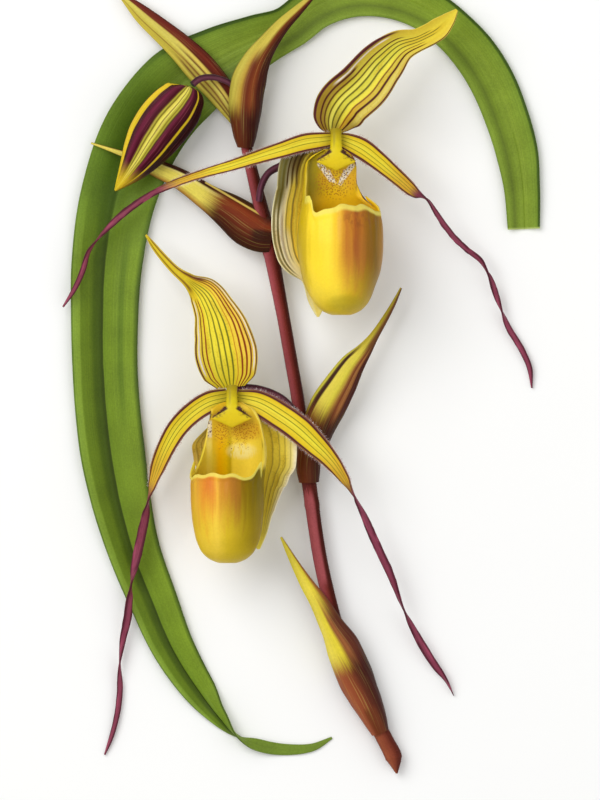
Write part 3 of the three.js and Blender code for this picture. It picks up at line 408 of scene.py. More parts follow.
def skin(
    name: str, rings: Array, u: Array, v: Array,
    extra: Optional[dict[str, Array]] = None,
) -> Mesh:
    """A closed mesh through rings of points, with a cap at each end.

    Args:
        name: The mesh's name.
        rings: Points, by ring and by place round it.
        u: The first pattern coordinate, by place round the ring and once more at its close.
        v: The second, by ring.
        extra: More numbers for each point, by name.

    Returns:
        The mesh, with its pattern coordinates.
    """
    rings[..., 2] = np.maximum(rings[..., 2], 0)  # nothing reaches below the floor
    count, around = rings.shape[:2]
    index = np.arange(count * around).reshape(count, around)
    wall = walls(index)
    j = np.arange(around // 2 - 1)
    first, last = index[0], index[-1]
    back = around - 1 - j
    start = np.stack([first[j], first[back], first[back - 1], first[j + 1]], axis=-1)
    end = np.stack([last[j], last[j + 1], last[back - 1], last[back]], axis=-1)
    faces = np.concatenate([wall, start, end])
    mesh = bpy.data.meshes.new(name)
    mesh.from_pydata(rings.reshape(-1, 3).tolist(), [], faces.tolist())
    grid = (count - 1, around, 4)
    u_wall = np.broadcast_to(np.stack([u[:-1], u[1:], u[1:], u[:-1]], -1), grid)
    v_wall = np.broadcast_to(np.stack([v[:-1], v[:-1], v[1:], v[1:]], -1)[:, None], grid)
    caps = np.concatenate([start, end]).reshape(-1)
    u_caps, v_caps = np.tile(u[:-1], count)[caps], np.repeat(v, around)[caps]
    loops = np.empty((len(faces) * 4, 2), np.float32)
    loops[:, 0] = np.concatenate([u_wall.reshape(-1), u_caps])
    loops[:, 1] = np.concatenate([v_wall.reshape(-1), v_caps])
    mesh.uv_layers.new(name="pattern").data.foreach_set("uv", loops.reshape(-1))
    for label, values in (extra or {}).items():
        carry(mesh, label, values)
    mesh.polygons.foreach_set("use_smooth", [True] * len(mesh.polygons))
    mesh.set_sharp_from_angle(angle=SHARP_EDGE)
    return mesh


def add_piece(
    mesh: Mesh, name: str, material: Material,
    node: Optional[str] = None,
) -> bpy.types.Object:
    """Puts a mesh in the scene as a piece of the part.

    Args:
        mesh: The piece's mesh.
        name: The piece's name.
        material: Its material.
        node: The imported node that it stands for, if any.

    Returns:
        The piece's object.
    """
    piece = bpy.data.objects.new(name, mesh)
    bpy.context.scene.collection.objects.link(piece)
    mesh.materials.clear()
    mesh.materials.append(material)
    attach(piece, "root")
    if node is not None:
        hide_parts(node)
    LOG.info("%s: %d faces", name, len(mesh.polygons))
    return piece


# ---------------------------------------------------------------- materials


class NodeTree:
    """A tree of nodes, put together by short calls."""

    def __init__(self, tree: bpy.types.NodeTree) -> None:
        """Takes the tree that the calls add to."""
        self.tree = tree

    def node(self, kind: str, **inputs: object) -> bpy.types.Node:
        """Adds a node and feeds its inputs.

        Args:
            kind: The node's type, as Blender names it.
            **inputs: What each input gets, by its name, with a line for each blank in it.

        Returns:
            The node.
        """
        node = self.tree.nodes.new(kind)
        for label, value in inputs.items():
            self.feed(node.inputs[label.replace("_", " ")], value)
        return node

    def feed(self, socket: Socket, value: object) -> None:
        """Links a socket or sets its value.

        Args:
            socket: The input.
            value: An output to link, a number, a vector or a colour in steps of 0 to 255.
        """
        if isinstance(value, Socket):
            self.tree.links.new(value, socket)
        elif socket.type == "RGBA":
            socket.default_value = tone(*value)
        else:
            socket.default_value = value

    def sum(self, operation: str, first: Value, second: Value = 0.0) -> Socket:
        """One sum on numbers.

        Args:
            operation: The sum, as Blender's Math node names it.
            first: The first number.
            second: The second number, which some sums leave unused.

        Returns:
            The result.
        """
        node = self.node("ShaderNodeMath")
        node.operation = operation
        self.feed(node.inputs[0], first)
        self.feed(node.inputs[1], second)
        return node.outputs[0]


class Graph(NodeTree):
    """A material's nodes."""

    def __init__(
        self, name: str, roughness: float, plan: Plan, sheen: float = 0.0, gloss: float = 0.14
    ) -> None:
        """Starts a material.

        Args:
            name: The material's name.
            roughness: The surface's roughness.
            plan: The plan that painted places lie on.
            sheen: Weight of the soft sheen of fine hairs.
            gloss: Strength of its mirror gloss.
        """
        self.material = bpy.data.materials.new(name)
        self.material.use_nodes = True
        super().__init__(self.material.node_tree)
        self.shader = self.tree.nodes["Principled BSDF"]
        settings = {"Roughness": roughness, "Sheen Weight": sheen, "Specular IOR Level": gloss}
        for label, value in settings.items():
            self.shader.inputs[label].default_value = value
        coordinates = self.node("ShaderNodeTexCoord").outputs
        self.uv, self.object = coordinates["UV"], coordinates["Object"]
        self.across, self.along = self.node("ShaderNodeSeparateXYZ", Vector=self.uv).outputs[:2]
        start = (PLAN_MIDDLE[0] - plan.shift[0] / GRID, PLAN_MIDDLE[1] + plan.shift[1] / GRID, 0)
        scale = (1 / GRID, -1 / GRID, 0)
        mapping = self.node("ShaderNodeMapping", Vector=self.object, Scale=scale, Location=start)
        self.plan = mapping.outputs[0]
        self.right, self.down = self.node("ShaderNodeSeparateXYZ", Vector=self.plan).outputs[:2]

    def times(self, *values: Value) -> Socket:
        """The product of several numbers."""
        return reduce(partial(self.sum, "MULTIPLY"), values)

    def most(self, *values: Value) -> Socket:
        """The largest of several numbers."""
        return reduce(partial(self.sum, "MAXIMUM"), values)

    def less(self, value: Value) -> Socket:
        """1 less a number."""
        return self.sum("SUBTRACT", 1.0, value)

    def share(self, value: Value, start: float, length: float) -> Socket:
        """How far a number has come along a stretch, as a share of its length."""
        return self.sum("DIVIDE", self.sum("SUBTRACT", value, start), length)

    def step(self, value: Value, low: float, high: float) -> Socket:
        """A soft step.

        Args:
            value: The number to judge.
            low: Where the step is 0.
            high: Where it is 1; it may be the lower of the two.

        Returns:
            The step's height.
        """
        node = self.node("ShaderNodeMapRange", Value=value, From_Min=low, From_Max=high)
        node.interpolation_type = "SMOOTHSTEP"
        return node.outputs[0]

    def band(self, value: Value, low: float, high: float, soft: float) -> Socket:
        """1 between two numbers, and 0 further than soft outside them."""
        return self.times(self.step(value, low - soft, low), self.step(value, high + soft, high))

    def line(self, value: Value, centre: float, half: float) -> Socket:
        """A soft line at one number."""
        away = self.sum("ABSOLUTE", self.sum("SUBTRACT", value, centre))
        return self.step(away, half, half * 0.3)

    def mix(self, factor: Value, first: Paint, second: Paint) -> Socket:
        """A blend of two colours.

        Args:
            factor: How much of the second shows, from 0 to 1.
            first: The first colour.
            second: The second colour.

        Returns:
            The colour.
        """
        node = self.node("ShaderNodeMix")
        node.data_type = "RGBA"
        for place, value in ((0, factor), (6, first), (7, second)):
            self.feed(node.inputs[place], value)
        return node.outputs[2]

    def over(self, ground: Paint, paint: Paint, *masks: Value) -> Socket:
        """A colour laid over another, as thickly as the product of the masks."""
        return self.mix(self.times(*masks), ground, paint)

    def ramp(self, value: Value, stops: Rows) -> Socket:
        """A colour read off a row of stops.

        Args:
            value: Where to read it.
            stops: Rows of a place, red, green and blue, in order.

        Returns:
            The colour.
        """
        node = self.node("ShaderNodeValToRGB", Fac=value)
        elements = node.color_ramp.elements
        while len(elements) < len(stops):
            elements.new(1.0)
        for element, (place, *colour) in zip(elements, stops):
            element.position = place
            element.color = tone(*colour)
        return node.outputs[0]

    def noise(self, scale: Place, detail: float, ground: Optional[Socket] = None) -> Socket:
        """Smooth noise from 0 to 1.

        Args:
            scale: How closely it changes along each axis.
            detail: How many finer layers it has.
            ground: The coordinates that it lies on; the object's, if none are given.

        Returns:
            The noise.
        """
        mapping = self.node("ShaderNodeMapping", Vector=ground or self.object, Scale=scale)
        noise = self.node("ShaderNodeTexNoise", Vector=mapping.outputs[0], Scale=1.0, Detail=detail)
        return noise.outputs["Fac"]

    def weave(self, scale: Place, detail: float) -> Socket:
        """Smooth noise on the pattern's coordinates, across and along the piece."""
        return self.noise(scale, detail, self.uv)

    def wobble(self, value: Value, noise: Socket, amount: float) -> Socket:
        """A number pushed about by noise."""
        return self.sum("ADD", value, self.times(self.sum("SUBTRACT", noise, 0.5), amount))

    def cells(self, feature: str, vector: Socket, scale: float) -> Socket:
        """Distances in a flat field of scattered cells.

        Args:
            feature: What the distance is measured to, as Blender's Voronoi node names it.
            vector: The coordinates that the field lies on.
            scale: How many cells there are a unit.

        Returns:
            The distance.
        """
        node = self.node("ShaderNodeTexVoronoi", Vector=vector, Scale=scale)
        node.voronoi_dimensions, node.feature = "2D", feature
        return node.outputs["Distance"]

    def spots(self, spacing: float, radius: float) -> Socket:
        """Round spots on the plan, at a spacing and radius in grid units."""
        away = self.cells("F1", self.plan, 1 / spacing)
        return self.step(away, radius / spacing, radius / spacing * 0.6)

    def blot(
        self, right: float, down: float, wide: float, tall: float, core: float = 0.25
    ) -> Socket:
        """A soft oval on the plan.

        Args:
            right: Its middle, in grid units to the right.
            down: Its middle, in grid units down.
            wide: Half its width.
            tall: Half its height.
            core: How far out it is full, as a share squared.

        Returns:
            1 inside its core, falling to 0 at its edge.
        """
        across, along = self.share(self.right, right, wide), self.share(self.down, down, tall)
        away = self.sum("ADD", self.times(across, across), self.times(along, along))
        return self.step(away, 1.0, core)

    def stroke(self, start: Span, end: Span, half: float) -> Socket:
        """A soft straight stroke on the plan.

        Args:
            start: Right and down of its start, in grid units.
            end: Right and down of its end.
            half: Half its width.

        Returns:
            1 on its line, falling to 0 at its edge.
        """
        run, fall = end[0] - start[0], end[1] - start[1]
        length = math.hypot(run, fall)
        x = self.sum("SUBTRACT", self.right, start[0])
        y = self.sum("SUBTRACT", self.down, start[1])
        along = self.sum("ADD", self.times(x, run / length), self.times(y, fall / length))
        across = self.sum("SUBTRACT", self.times(x, fall / length), self.times(y, run / length))
        away = self.step(self.sum("ABSOLUTE", across), half, half * 0.45)
        return self.times(away, self.band(along, 0.0, length, half))

    def value_of(self, name: str) -> Socket:
        """A number that the mesh carries for each point, by its name."""
        node = self.node("ShaderNodeAttribute")
        node.attribute_name = name
        return node.outputs["Fac"]

    def grained(self, colour: Paint, amount: float, scale: float = 900.0) -> Socket:
        """A colour with fine and broad changes of brightness, as living tissue has.

        Args:
            colour: The even colour.
            amount: How strong the changes are.
            scale: How closely the fine ones lie.

        Returns:
            The uneven colour.
        """
        fine = self.noise((scale, scale, scale), 3.0)
        broad = self.noise((90, 90, 90), 1.0)
        bright = self.wobble(self.wobble(1.0, fine, amount * 2), broad, amount * 2)
        return self.node("ShaderNodeHueSaturation", Color=colour, Value=bright).outputs[0]

    def close(self, colour: Paint, height: Optional[Socket] = None, depth: float = 0.1) -> Material:
        """Ends the material.

        Args:
            colour: The surface's colour.
            height: Height of its fine relief, from 0 to 1.
            depth: That relief's depth in millimetres.

        Returns:
            The material.
        """
        self.feed(self.shader.inputs["Base Color"], colour)
        if height is not None:
            bump = self.node("ShaderNodeBump", Height=height, Distance=depth * MM, Strength=1.0)
            self.feed(self.shader.inputs["Normal"], bump.outputs[0])
        return self.material


class Finish(Protocol):
    """What every finish can do."""

    def build(self, plan: Plan) -> Material:
        """Builds the finish's material, with painted places given on the plan."""


@dataclass(frozen=True)
class LeafFinish:
    """The waxy strap leaf: a dark channel line, a shaded outer half and a lighter inner one."""

    name: str = "leaf_wax"
    roughness: float = 0.42
    channel: float = 0.53  # place of the channel's line across the leaf

    def build(self, plan: Plan) -> Material:
        """Builds the material.

        Args:
            plan: The plan that painted places lie on.

        Returns:
            The material.
        """
        g = Graph(self.name, self.roughness, plan)
        drift = g.weave((3, 26, 1), 2.0)
        u = g.wobble(g.across, drift, 0.03)
        c = self.channel
        # Painted shade: the dark line at the channel and the darker half beyond it in long_side and
        # arch, and the dark strip at the arm's outer margin, where the folded far half lies in
        # shade.
        long_side = g.ramp(u, [
            (0.0, 50, 68, 18), (0.035, 86, 108, 28), (0.09, 124, 149, 40), (0.3, 119, 144, 37),
            (c - 0.02, 110, 136, 32), (c, 46, 60, 8), (c + 0.04, 60, 77, 12),
            (c + 0.14, 72, 92, 16), (0.74, 97, 119, 25), (0.86, 100, 124, 28),
            (0.885, 126, 152, 48), (0.97, 134, 162, 58), (1.0, 84, 110, 38),
        ])
        arch = g.ramp(u, [
            (0.0, 70, 96, 24), (0.06, 112, 140, 38), (0.3, 104, 130, 30), (c - 0.03, 86, 112, 22),
            (c + 0.02, 58, 82, 10), (0.72, 74, 100, 20), (0.9, 100, 128, 34), (1.0, 108, 136, 42),
        ])
        arm = g.ramp(u, [
            (0.0, 112, 136, 44), (0.05, 134, 157, 54), (0.15, 118, 140, 44), (0.23, 104, 122, 40),
            (0.34, 124, 146, 44), (0.6, 132, 154, 48), (0.88, 124, 149, 46), (0.93, 112, 138, 40),
            (0.955, 64, 88, 24), (1.0, 52, 74, 20),
        ])
        colour = g.mix(g.step(g.along, 0.36, 0.43), arm, arch)
        colour = g.mix(g.step(g.along, 0.47, 0.56), colour, long_side)
        second = g.times(g.line(u, 0.26, 0.07), g.band(g.along, 0.55, 0.63, 0.05))
        colour = g.over(colour, (80, 108, 24), second, 0.55)
        veins = g.weave((150, 4, 1), 2.0)
        colour = g.over(colour, (70, 98, 18), g.step(veins, 0.42, 0.72), 0.36)
        under = g.value_of("under")
        colour = g.mix(under, colour, g.mix(veins, (122, 146, 48), (100, 124, 38)))
        cut = g.step(g.along, 0.0018, 0.0002)
        colour = g.over(colour, (172, 188, 104), cut)
        return g.close(g.grained(colour, 0.25, 1700.0), veins, 0.09)


@dataclass(frozen=True)
class StalkFinish:
    """The maroon stalk, shaded along one side and brown at its foot."""

    name: str = "stalk_skin"
    roughness: float = 0.6

    def build(self, plan: Plan) -> Material:
        """Builds the material.

        Args:
            plan: The plan that painted places lie on.

        Returns:
            The material.
        """
        g = Graph(self.name, self.roughness, plan, sheen=0.03, gloss=0.08)
        streak = g.weave((24, 22, 1), 3.0)
        u = g.wobble(g.across, streak, 0.05)
        # Painted shade: the maroon skin darkens along one side, away from the light; the foot ramp
        # darkens the same side.
        skin_and_painted_shade = g.ramp(u, [
            (0.0, 120, 48, 56), (0.08, 164, 78, 84), (0.16, 154, 70, 74), (0.23, 126, 50, 48),
            (0.28, 102, 36, 28), (0.33, 70, 18, 8), (0.45, 58, 12, 2), (0.6, 80, 26, 26),
            (0.8, 112, 42, 48), (1.0, 120, 50, 56),
        ])
        foot = g.ramp(u, [
            (0.0, 124, 60, 36), (0.13, 156, 82, 52), (0.25, 130, 62, 41), (0.34, 94, 36, 22),
            (0.5, 74, 26, 16), (1.0, 120, 56, 36),
        ])
        ragged = g.wobble(g.down, streak, 40)
        colour = g.mix(g.step(ragged, 610, 680), skin_and_painted_shade, foot)
        # Painted highlight: a pale pink band down the middle stretch of the stalk.
        gleam = g.times(g.band(g.down, 500, 575, 14), g.line(u, 0.22, 0.13))
        colour = g.over(colour, (166, 82, 86), gleam, 0.85)
        collar = g.band(ragged, 466, 488, 6)
        colour = g.over(colour, (80, 28, 18), collar, 0.75)
        colour = g.over(colour, (88, 32, 44), g.step(g.down, 150, 110), 0.6)
        flecks = g.weave((60, 160, 1), 2.0)
        colour = g.over(colour, (64, 22, 30), g.step(flecks, 0.6, 0.75), 0.35)
        pith = g.step(g.along, 0.0012, 0.0002)
        colour = g.over(colour, (176, 112, 66), pith)
        return g.close(g.grained(colour, 0.2, 1500.0), g.noise((1600, 900, 1600), 3.0), 0.12)


@dataclass(frozen=True)
class Wash:
    """Colours from margin to margin of a bract, and how far along it they hold."""

    stops: Rows
    start: float = 0.0
    end: float = 0.0


@dataclass(frozen=True)
class BractFinish:
    """A bract whose washes of colour follow each other from base to tip."""

    name: str
    washes: tuple[Wash, ...]
    strokes: tuple[tuple[Span, Span, float, Colour], ...] = ()  # ends, half width and colour
    roughness: float = 0.5

    def build(self, plan: Plan) -> Material:
        """Builds the material.

        Args:
            plan: The plan that painted places lie on.

        Returns:
            The material.
        """
        g = Graph(self.name, self.roughness, plan)
        fibre = g.weave((46, 2.4, 1), 3.0)
        u = g.wobble(g.across, g.weave((5, 3, 1), 1.0), 0.06)
        v = g.wobble(g.along, fibre, 0.16)
        colour: Paint = g.ramp(u, self.washes[0].stops)
        for wash in self.washes[1:]:
            colour = g.mix(g.step(v, wash.start, wash.end), colour, g.ramp(u, wash.stops))
        for start, end, half, paint in self.strokes:
            colour = g.over(colour, paint, g.stroke(start, end, half), 0.9)
        colour = g.over(colour, (90, 62, 24), g.step(fibre, 0.55, 0.72), 0.2)
        colour = g.over(colour, (236, 226, 120), g.step(fibre, 0.45, 0.3), 0.16)
        inner = g.value_of("under")
        colour = g.over(colour, (150, 122, 52), inner, 0.55)
        return g.close(g.grained(colour, 0.12, 1300.0), fibre, 0.12)


@dataclass(frozen=True)
class Vein:
    """One vein or wash of a sepal or petal: its place across, width, colour, reach and fade."""

    place: float
    half: float
    colour: Colour
    start: float = 0.0
    end: float = 1.0
    strength: float = 1.0
    fade: float = 0.05


@dataclass(frozen=True)
class VeinedFinish:
    """A sepal or petal: a ground colour with veins that follow its length."""

    name: str
    ground: Rows
    veins: tuple[Vein, ...]
    base: Colour
    tip: Colour
    base_end: float = 0.1
    tip_start: float = 0.6
    tip_end: float = 0.8
    tip_strength: float = 0.7
    under: Colour = (206, 190, 96)
    tail: Optional[Span] = None  # where a tail's colour starts and is full
    roughness: float = 0.45
    veinlets: float = 0.35

    def build(self, plan: Plan) -> Material:
        """Builds the material.

        Args:
            plan: The plan that painted places lie on.

        Returns:
            The material.
        """
        g = Graph(self.name, self.roughness, plan)
        drift = g.weave((3, 7, 1), 1.0)
        u = g.wobble(g.across, drift, 0.035)
        colour: Paint = g.ramp(u, self.ground)
        mottle = g.weave((9, 6, 1), 2.0)
        colour = g.over(colour, (206, 166, 20), g.step(mottle, 0.48, 0.7), 0.4)
        colour = g.over(colour, self.base, g.step(g.along, self.base_end, 0.0), 0.75)
        tip = g.times(g.step(g.along, self.tip_start, self.tip_end), self.tip_strength)
        colour = g.over(colour, self.tip, tip)
        meshes = g.node("ShaderNodeMapping", Vector=g.uv, Scale=(14, 34, 1)).outputs[0]
        edges = g.cells("DISTANCE_TO_EDGE", meshes, 1.0)
        net = g.times(g.step(edges, 0.07, 0.015), g.step(mottle, 0.42, 0.6))
        colour = g.over(colour, (150, 130, 26), net, self.veinlets, g.band(g.along, 0.12, 0.5, 0.1))
        ridges: Value = 0.0
        for vein in self.veins:
            reach = g.band(g.along, vein.start, vein.end, vein.fade)
            mask = g.times(g.line(u, vein.place, vein.half), reach)
            ridges = g.most(ridges, mask)
            colour = g.over(colour, vein.colour, mask, vein.strength)
        colour = g.over(colour, self.under, g.value_of("under"), 0.5)
        if self.tail is not None:
            fibre = g.weave((10, 60, 1), 2.0)
            tail = g.mix(g.line(u, 0.45, 0.42), (84, 28, 44), (138, 62, 82))
            tail = g.over(tail, (104, 34, 54), g.step(fibre, 0.5, 0.7), 0.5)
            # Painted highlight: pink patches along the tail.
            painted_tail_highlight = g.step(g.weave((2, 16, 1), 1.0), 0.52, 0.7)
            tail = g.over(tail, (172, 78, 104), painted_tail_highlight, 0.6)
            reach = g.step(g.wobble(g.along, mottle, 0.04), *self.tail)
            colour = g.mix(reach, colour, tail)
        return g.close(g.grained(colour, 0.1, 1300.0), ridges, 0.08)


@dataclass(frozen=True)
class BudFinish:
    """The bud: yellow ribs between dark purple faces."""

    name: str = "bud_skin"
    roughness: float = 0.42

    def build(self, plan: Plan) -> Material:
        """Builds the material.

        Args:
            plan: The plan that painted places lie on.

        Returns:
            The material.
        """
        g = Graph(self.name, self.roughness, plan, gloss=0.07)
        drift = g.weave((4, 5, 1), 2.0)
        u = g.wobble(g.across, drift, 0.012)
        gold, green = (222, 190, 36), (186, 176, 56)
        dark, plum, rose = (38, 2, 6), (64, 6, 22), (106, 32, 56)
        # Painted light: the rose down the middle of each purple face is a painted highlight, and
        # the dark purple beyond the last yellow rib is painted shade.
        colour = g.ramp(u, [
            (0.118, *dark), (0.126, *gold), (0.14, *gold), (0.147, 54, 8, 22), (0.18, *plum),
            (0.205, *rose), (0.216, 70, 50, 20), (0.222, *green), (0.232, 120, 104, 34),
            (0.238, *green), (0.25, 232, 222, 98), (0.256, 90, 52, 20), (0.262, 236, 224, 100),
            (0.276, 222, 208, 80), (0.281, 100, 86, 24), (0.294, *green), (0.302, 78, 40, 30),
            (0.312, *plum), (0.345, *rose), (0.38, *plum), (0.417, *dark), (0.425, *gold),
            (0.474, *gold), (0.484, *dark), (0.56, *plum), (0.6, *gold), (0.62, *gold),
            (0.63, *dark), (0.75, *plum), (0.8, *gold), (0.82, *gold), (0.83, *dark),
        ])
        toe = g.ramp(u, [
            (0.0, 112, 70, 16), (0.13, 224, 186, 26), (0.3, 238, 206, 34), (0.45, 236, 200, 26),
            (0.6, 146, 100, 20), (1.0, 112, 70, 16),
        ])
        colour = g.over(colour, toe, g.step(g.along, 0.72, 0.95), 0.8)
        fibre = g.weave((110, 3, 1), 2.0)
        colour = g.over(colour, (60, 34, 24), g.step(fibre, 0.52, 0.7), 0.25)
        colour = g.over(colour, (150, 74, 84), g.step(fibre, 0.46, 0.3), 0.35)
        return g.close(g.grained(colour, 0.12, 1300.0), fibre, 0.12)


@dataclass(frozen=True)
class DownyFinish:
    """A dark purple ovary or short stalk with a bloom of fine down."""

    name: str = "ovary_down"
    roughness: float = 0.55

    def build(self, plan: Plan) -> Material:
        """Builds the material.

        Args:
            plan: The plan that painted places lie on.

        Returns:
            The material.
        """
        g = Graph(self.name, self.roughness, plan, sheen=0.1)
        colour = g.ramp(g.wobble(g.across, g.weave((8, 8, 1), 2.0), 0.1), [
            (0.0, 52, 18, 30), (0.12, 92, 40, 58), (0.22, 112, 60, 78), (0.32, 72, 26, 40),
            (0.5, 44, 14, 26), (1.0, 52, 18, 30),
        ])
        furrow = g.sum("ABSOLUTE", g.sum("SINE", g.times(g.across, 6 * math.pi)))
        colour = g.over(colour, (34, 10, 20), g.step(furrow, 0.25, 0.0), 0.4)
        return g.close(g.grained(colour, 0.1), furrow, 0.15)


class Flower(Enum):
    """The two open flowers."""

    UPPER = "upper"
    LOWER = "lower"


@dataclass(frozen=True)
class LipFinish:
    """The glossy pouch: yellow, flushed orange brown, with a spotted bib inside."""

    flower: Flower
    roughness: float = 0.38
    upper_gloss: float = 0.17
    lower_gloss: float = 0.08

    def build(self, plan: Plan) -> Material:
        """Builds the material.

        Args:
            plan: The plan that painted places lie on.

        Returns:
            The material.
        """
        upper = self.flower is Flower.UPPER
        gloss = self.upper_gloss if upper else self.lower_gloss
        g = Graph(f"{self.flower.value}_lip_wax", self.roughness, plan, gloss=gloss)
        outside = self._upper_outside(g) if upper else self._lower_outside(g)
        inside = self._upper_inside(g) if upper else self._lower_inside(g)
        rim = g.times(g.step(g.value_of("rim"), 0.905, 0.95), g.less(g.value_of("back")))
        outside = g.over(outside, (232, 218, 96), rim, 0.8)
        colour = g.mix(g.value_of("inside"), outside, inside)
        pores = g.noise((1500, 500, 1500), 3.0)
        return g.close(g.grained(colour, 0.08, 1300.0), pores, 0.05)

    def _upper_outside(self, g: Graph) -> Socket:
        """Colours of the upper pouch from side to side, fading towards its toe.

        Args:
            g: The material's nodes.

        Returns:
            The colour.
        """
        fibre = g.noise((700, 26, 700), 2.0)
        x = g.share(g.wobble(g.right, fibre, 7), 296.0, 90.0)
        # Partly painted shade: both ramps and the olive blot at the toe turn darker and olive
        # towards the right and the bottom, over the pouch's own olive.
        flushed = g.ramp(x, [
            (0.0, 186, 156, 6), (0.06, 200, 170, 4), (0.11, 212, 180, 18), (0.16, 250, 216, 44),
            (0.36, 255, 222, 50), (0.44, 242, 198, 46), (0.5, 220, 160, 42), (0.56, 190, 118, 36),
            (0.61, 192, 124, 34), (0.66, 160, 86, 26), (0.72, 174, 106, 30), (0.78, 146, 96, 14),
            (0.88, 128, 92, 0), (0.95, 164, 114, 4), (1.0, 146, 98, 2),
        ])
        plain = g.ramp(x, [
            (0.0, 186, 158, 8), (0.09, 208, 176, 16), (0.19, 250, 218, 58), (0.46, 248, 216, 56),
            (0.6, 216, 178, 30), (0.75, 176, 144, 18), (0.9, 143, 114, 12), (1.0, 150, 120, 14),
        ])
        colour = g.mix(g.step(g.wobble(g.down, fibre, 34), 250, 306), flushed, plain)
        shade = g.step(g.wobble(g.down, fibre, 8), 292, 318)
        colour = g.over(colour, (196, 166, 14), shade, 0.6)
        colour = g.over(colour, (150, 136, 16), g.blot(346, 304, 24, 11, 0.0), 0.45)
        mottle = g.step(g.noise((900, 420, 900), 3.0), 0.46, 0.56)
        return g.over(colour, (136, 72, 30), mottle, g.blot(360, 219, 20, 11), 0.4)

    def _lower_outside(self, g: Graph) -> Socket:
        """Colours of the lower pouch from side to side, fading towards its toe.

        Args:
            g: The material's nodes.

        Returns:
            The colour.
        """
        fibre = g.noise((700, 26, 700), 2.0)
        x = g.share(g.wobble(g.right, fibre, 6), 190.0, 76.0)
        # Partly painted shade: both ramps turn darker and olive towards the right side, over the
        # pouch's own olive.
        flushed = g.ramp(x, [
            (0.0, 206, 150, 30), (0.07, 220, 168, 48), (0.15, 222, 148, 46), (0.21, 222, 132, 46),
            (0.27, 220, 126, 46), (0.32, 226, 144, 50), (0.36, 236, 178, 58), (0.4, 206, 138, 42),
            (0.5, 190, 124, 40), (0.58, 168, 110, 34), (0.65, 154, 106, 22), (0.72, 132, 104, 0),
            (0.9, 116, 98, 0), (1.0, 138, 118, 0),
        ])
        plain = g.ramp(x, [
            (0.0, 214, 174, 30), (0.15, 228, 190, 40), (0.36, 242, 206, 68), (0.5, 214, 182, 38),
            (0.7, 176, 150, 20), (0.85, 148, 124, 4), (1.0, 158, 134, 10),
        ])
        colour = g.mix(g.step(g.wobble(g.down, fibre, 56), 484, 540), flushed, plain)
        above = g.ramp(x, [
            (0.0, 190, 166, 60), (0.08, 214, 190, 66), (0.13, 150, 130, 44), (0.18, 226, 200, 66),
            (0.3, 190, 162, 52), (0.9, 240, 214, 92), (1.0, 222, 198, 84),
        ])
        colour = g.mix(g.step(g.down, 471, 463), colour, above)
        shade = g.step(g.wobble(g.down, fibre, 8), 536, 562)
        return g.over(colour, (206, 177, 33), shade, 0.5)

    def _upper_inside(self, g: Graph) -> Socket:
        """The upper bib: olive at its left, orange below, with two spotted white wings.

        Args:
            g: The material's nodes.

        Returns:
            The colour.
        """
        colour: Paint = g.ramp(g.share(g.right, 298.0, 64.0), [
            (0.0, 214, 188, 60), (0.12, 224, 196, 70), (0.17, 154, 138, 0), (0.32, 178, 154, 0),
            (0.46, 214, 186, 16), (0.6, 234, 196, 34), (0.8, 228, 188, 36), (1.0, 216, 180, 30),
        ])
        below = g.times(g.step(g.down, 184, 202), g.step(g.right, 306, 326))
        colour = g.over(colour, (252, 200, 26), below, 0.75)
        colour = g.over(colour, (230, 160, 36), g.blot(326, 180, 11, 14, 0.0), 0.35)
        colour = g.over(colour, (228, 156, 36), g.blot(352, 180, 10, 14, 0.0), 0.35)
        orange = g.times(g.spots(2.7, 0.9), g.blot(335, 182, 25, 22))
        colour = g.over(colour, (176, 104, 26), orange, 0.7)
        wings = g.most(
            g.stroke((320, 165), (331, 180), 3.4), g.stroke((328, 172), (334, 183), 2.6),
            g.stroke((352, 166), (342, 180), 3.4), g.stroke((345, 172), (340, 184), 2.6),
        )
        wings = g.times(wings, g.step(g.noise((1300, 1300, 1300), 1.0), 0.36, 0.46))
        colour = g.over(colour, (246, 240, 216), wings, 0.95)
        near = g.most(wings, g.times(g.blot(337, 181, 13, 9, 0.0), 0.55))
        dark = g.times(g.spots(2.3, 0.75), near)
        return g.over(colour, (96, 34, 66), dark, 0.95)

    def _lower_inside(self, g: Graph) -> Socket:
        """The lower bib: golden, freckled orange above, with a pale gleam and a spotted fold.

        Args:
            g: The material's nodes.

        Returns:
            The colour.
        """
        colour: Paint = g.ramp(g.share(g.right, 200.0, 66.0), [
            (0.0, 206, 178, 34), (0.09, 232, 202, 58), (0.12, 252, 232, 120), (0.17, 248, 224, 100),
            (0.2, 226, 186, 30), (0.3, 240, 184, 6), (0.4, 232, 190, 10), (0.46, 196, 168, 20),
            (0.5, 244, 214, 60), (0.75, 252, 222, 70), (0.92, 234, 204, 56), (1.0, 184, 162, 40),
        ])
        warm = g.times(g.step(g.down, 446, 432), 0.6)
        colour = g.over(colour, (222, 184, 44), warm)
        # Painted highlight: a pale yellow strip down the lower part beside the fold.
        strip = g.times(g.step(g.down, 440, 462), g.step(g.right, 219, 212))
        colour = g.over(colour, (230, 206, 62), strip, 0.75)
        colour = g.over(colour, (206, 152, 30), g.blot(247, 430, 19, 13, 0.0), 0.55)
        # Painted highlight: a pale streaked oval on the bib.
        streaks = g.step(g.noise((1500, 60, 1500), 1.0), 0.3, 0.5)
        colour = g.over(colour, (253, 243, 172), g.blot(242, 451, 18, 10, 0.0), streaks, 0.65)
        freckled = g.most(g.blot(246, 431, 18, 12), g.blot(221, 432, 10, 12))
        colour = g.over(colour, (178, 98, 22), g.spots(2.2, 0.78), freckled, 0.7)
        fold = g.stroke((210, 422), (210, 436), 2.6)
        colour = g.over(colour, (244, 230, 200), fold, 0.8)
        return g.over(colour, (92, 40, 60), fold, g.spots(2.8, 1.0))


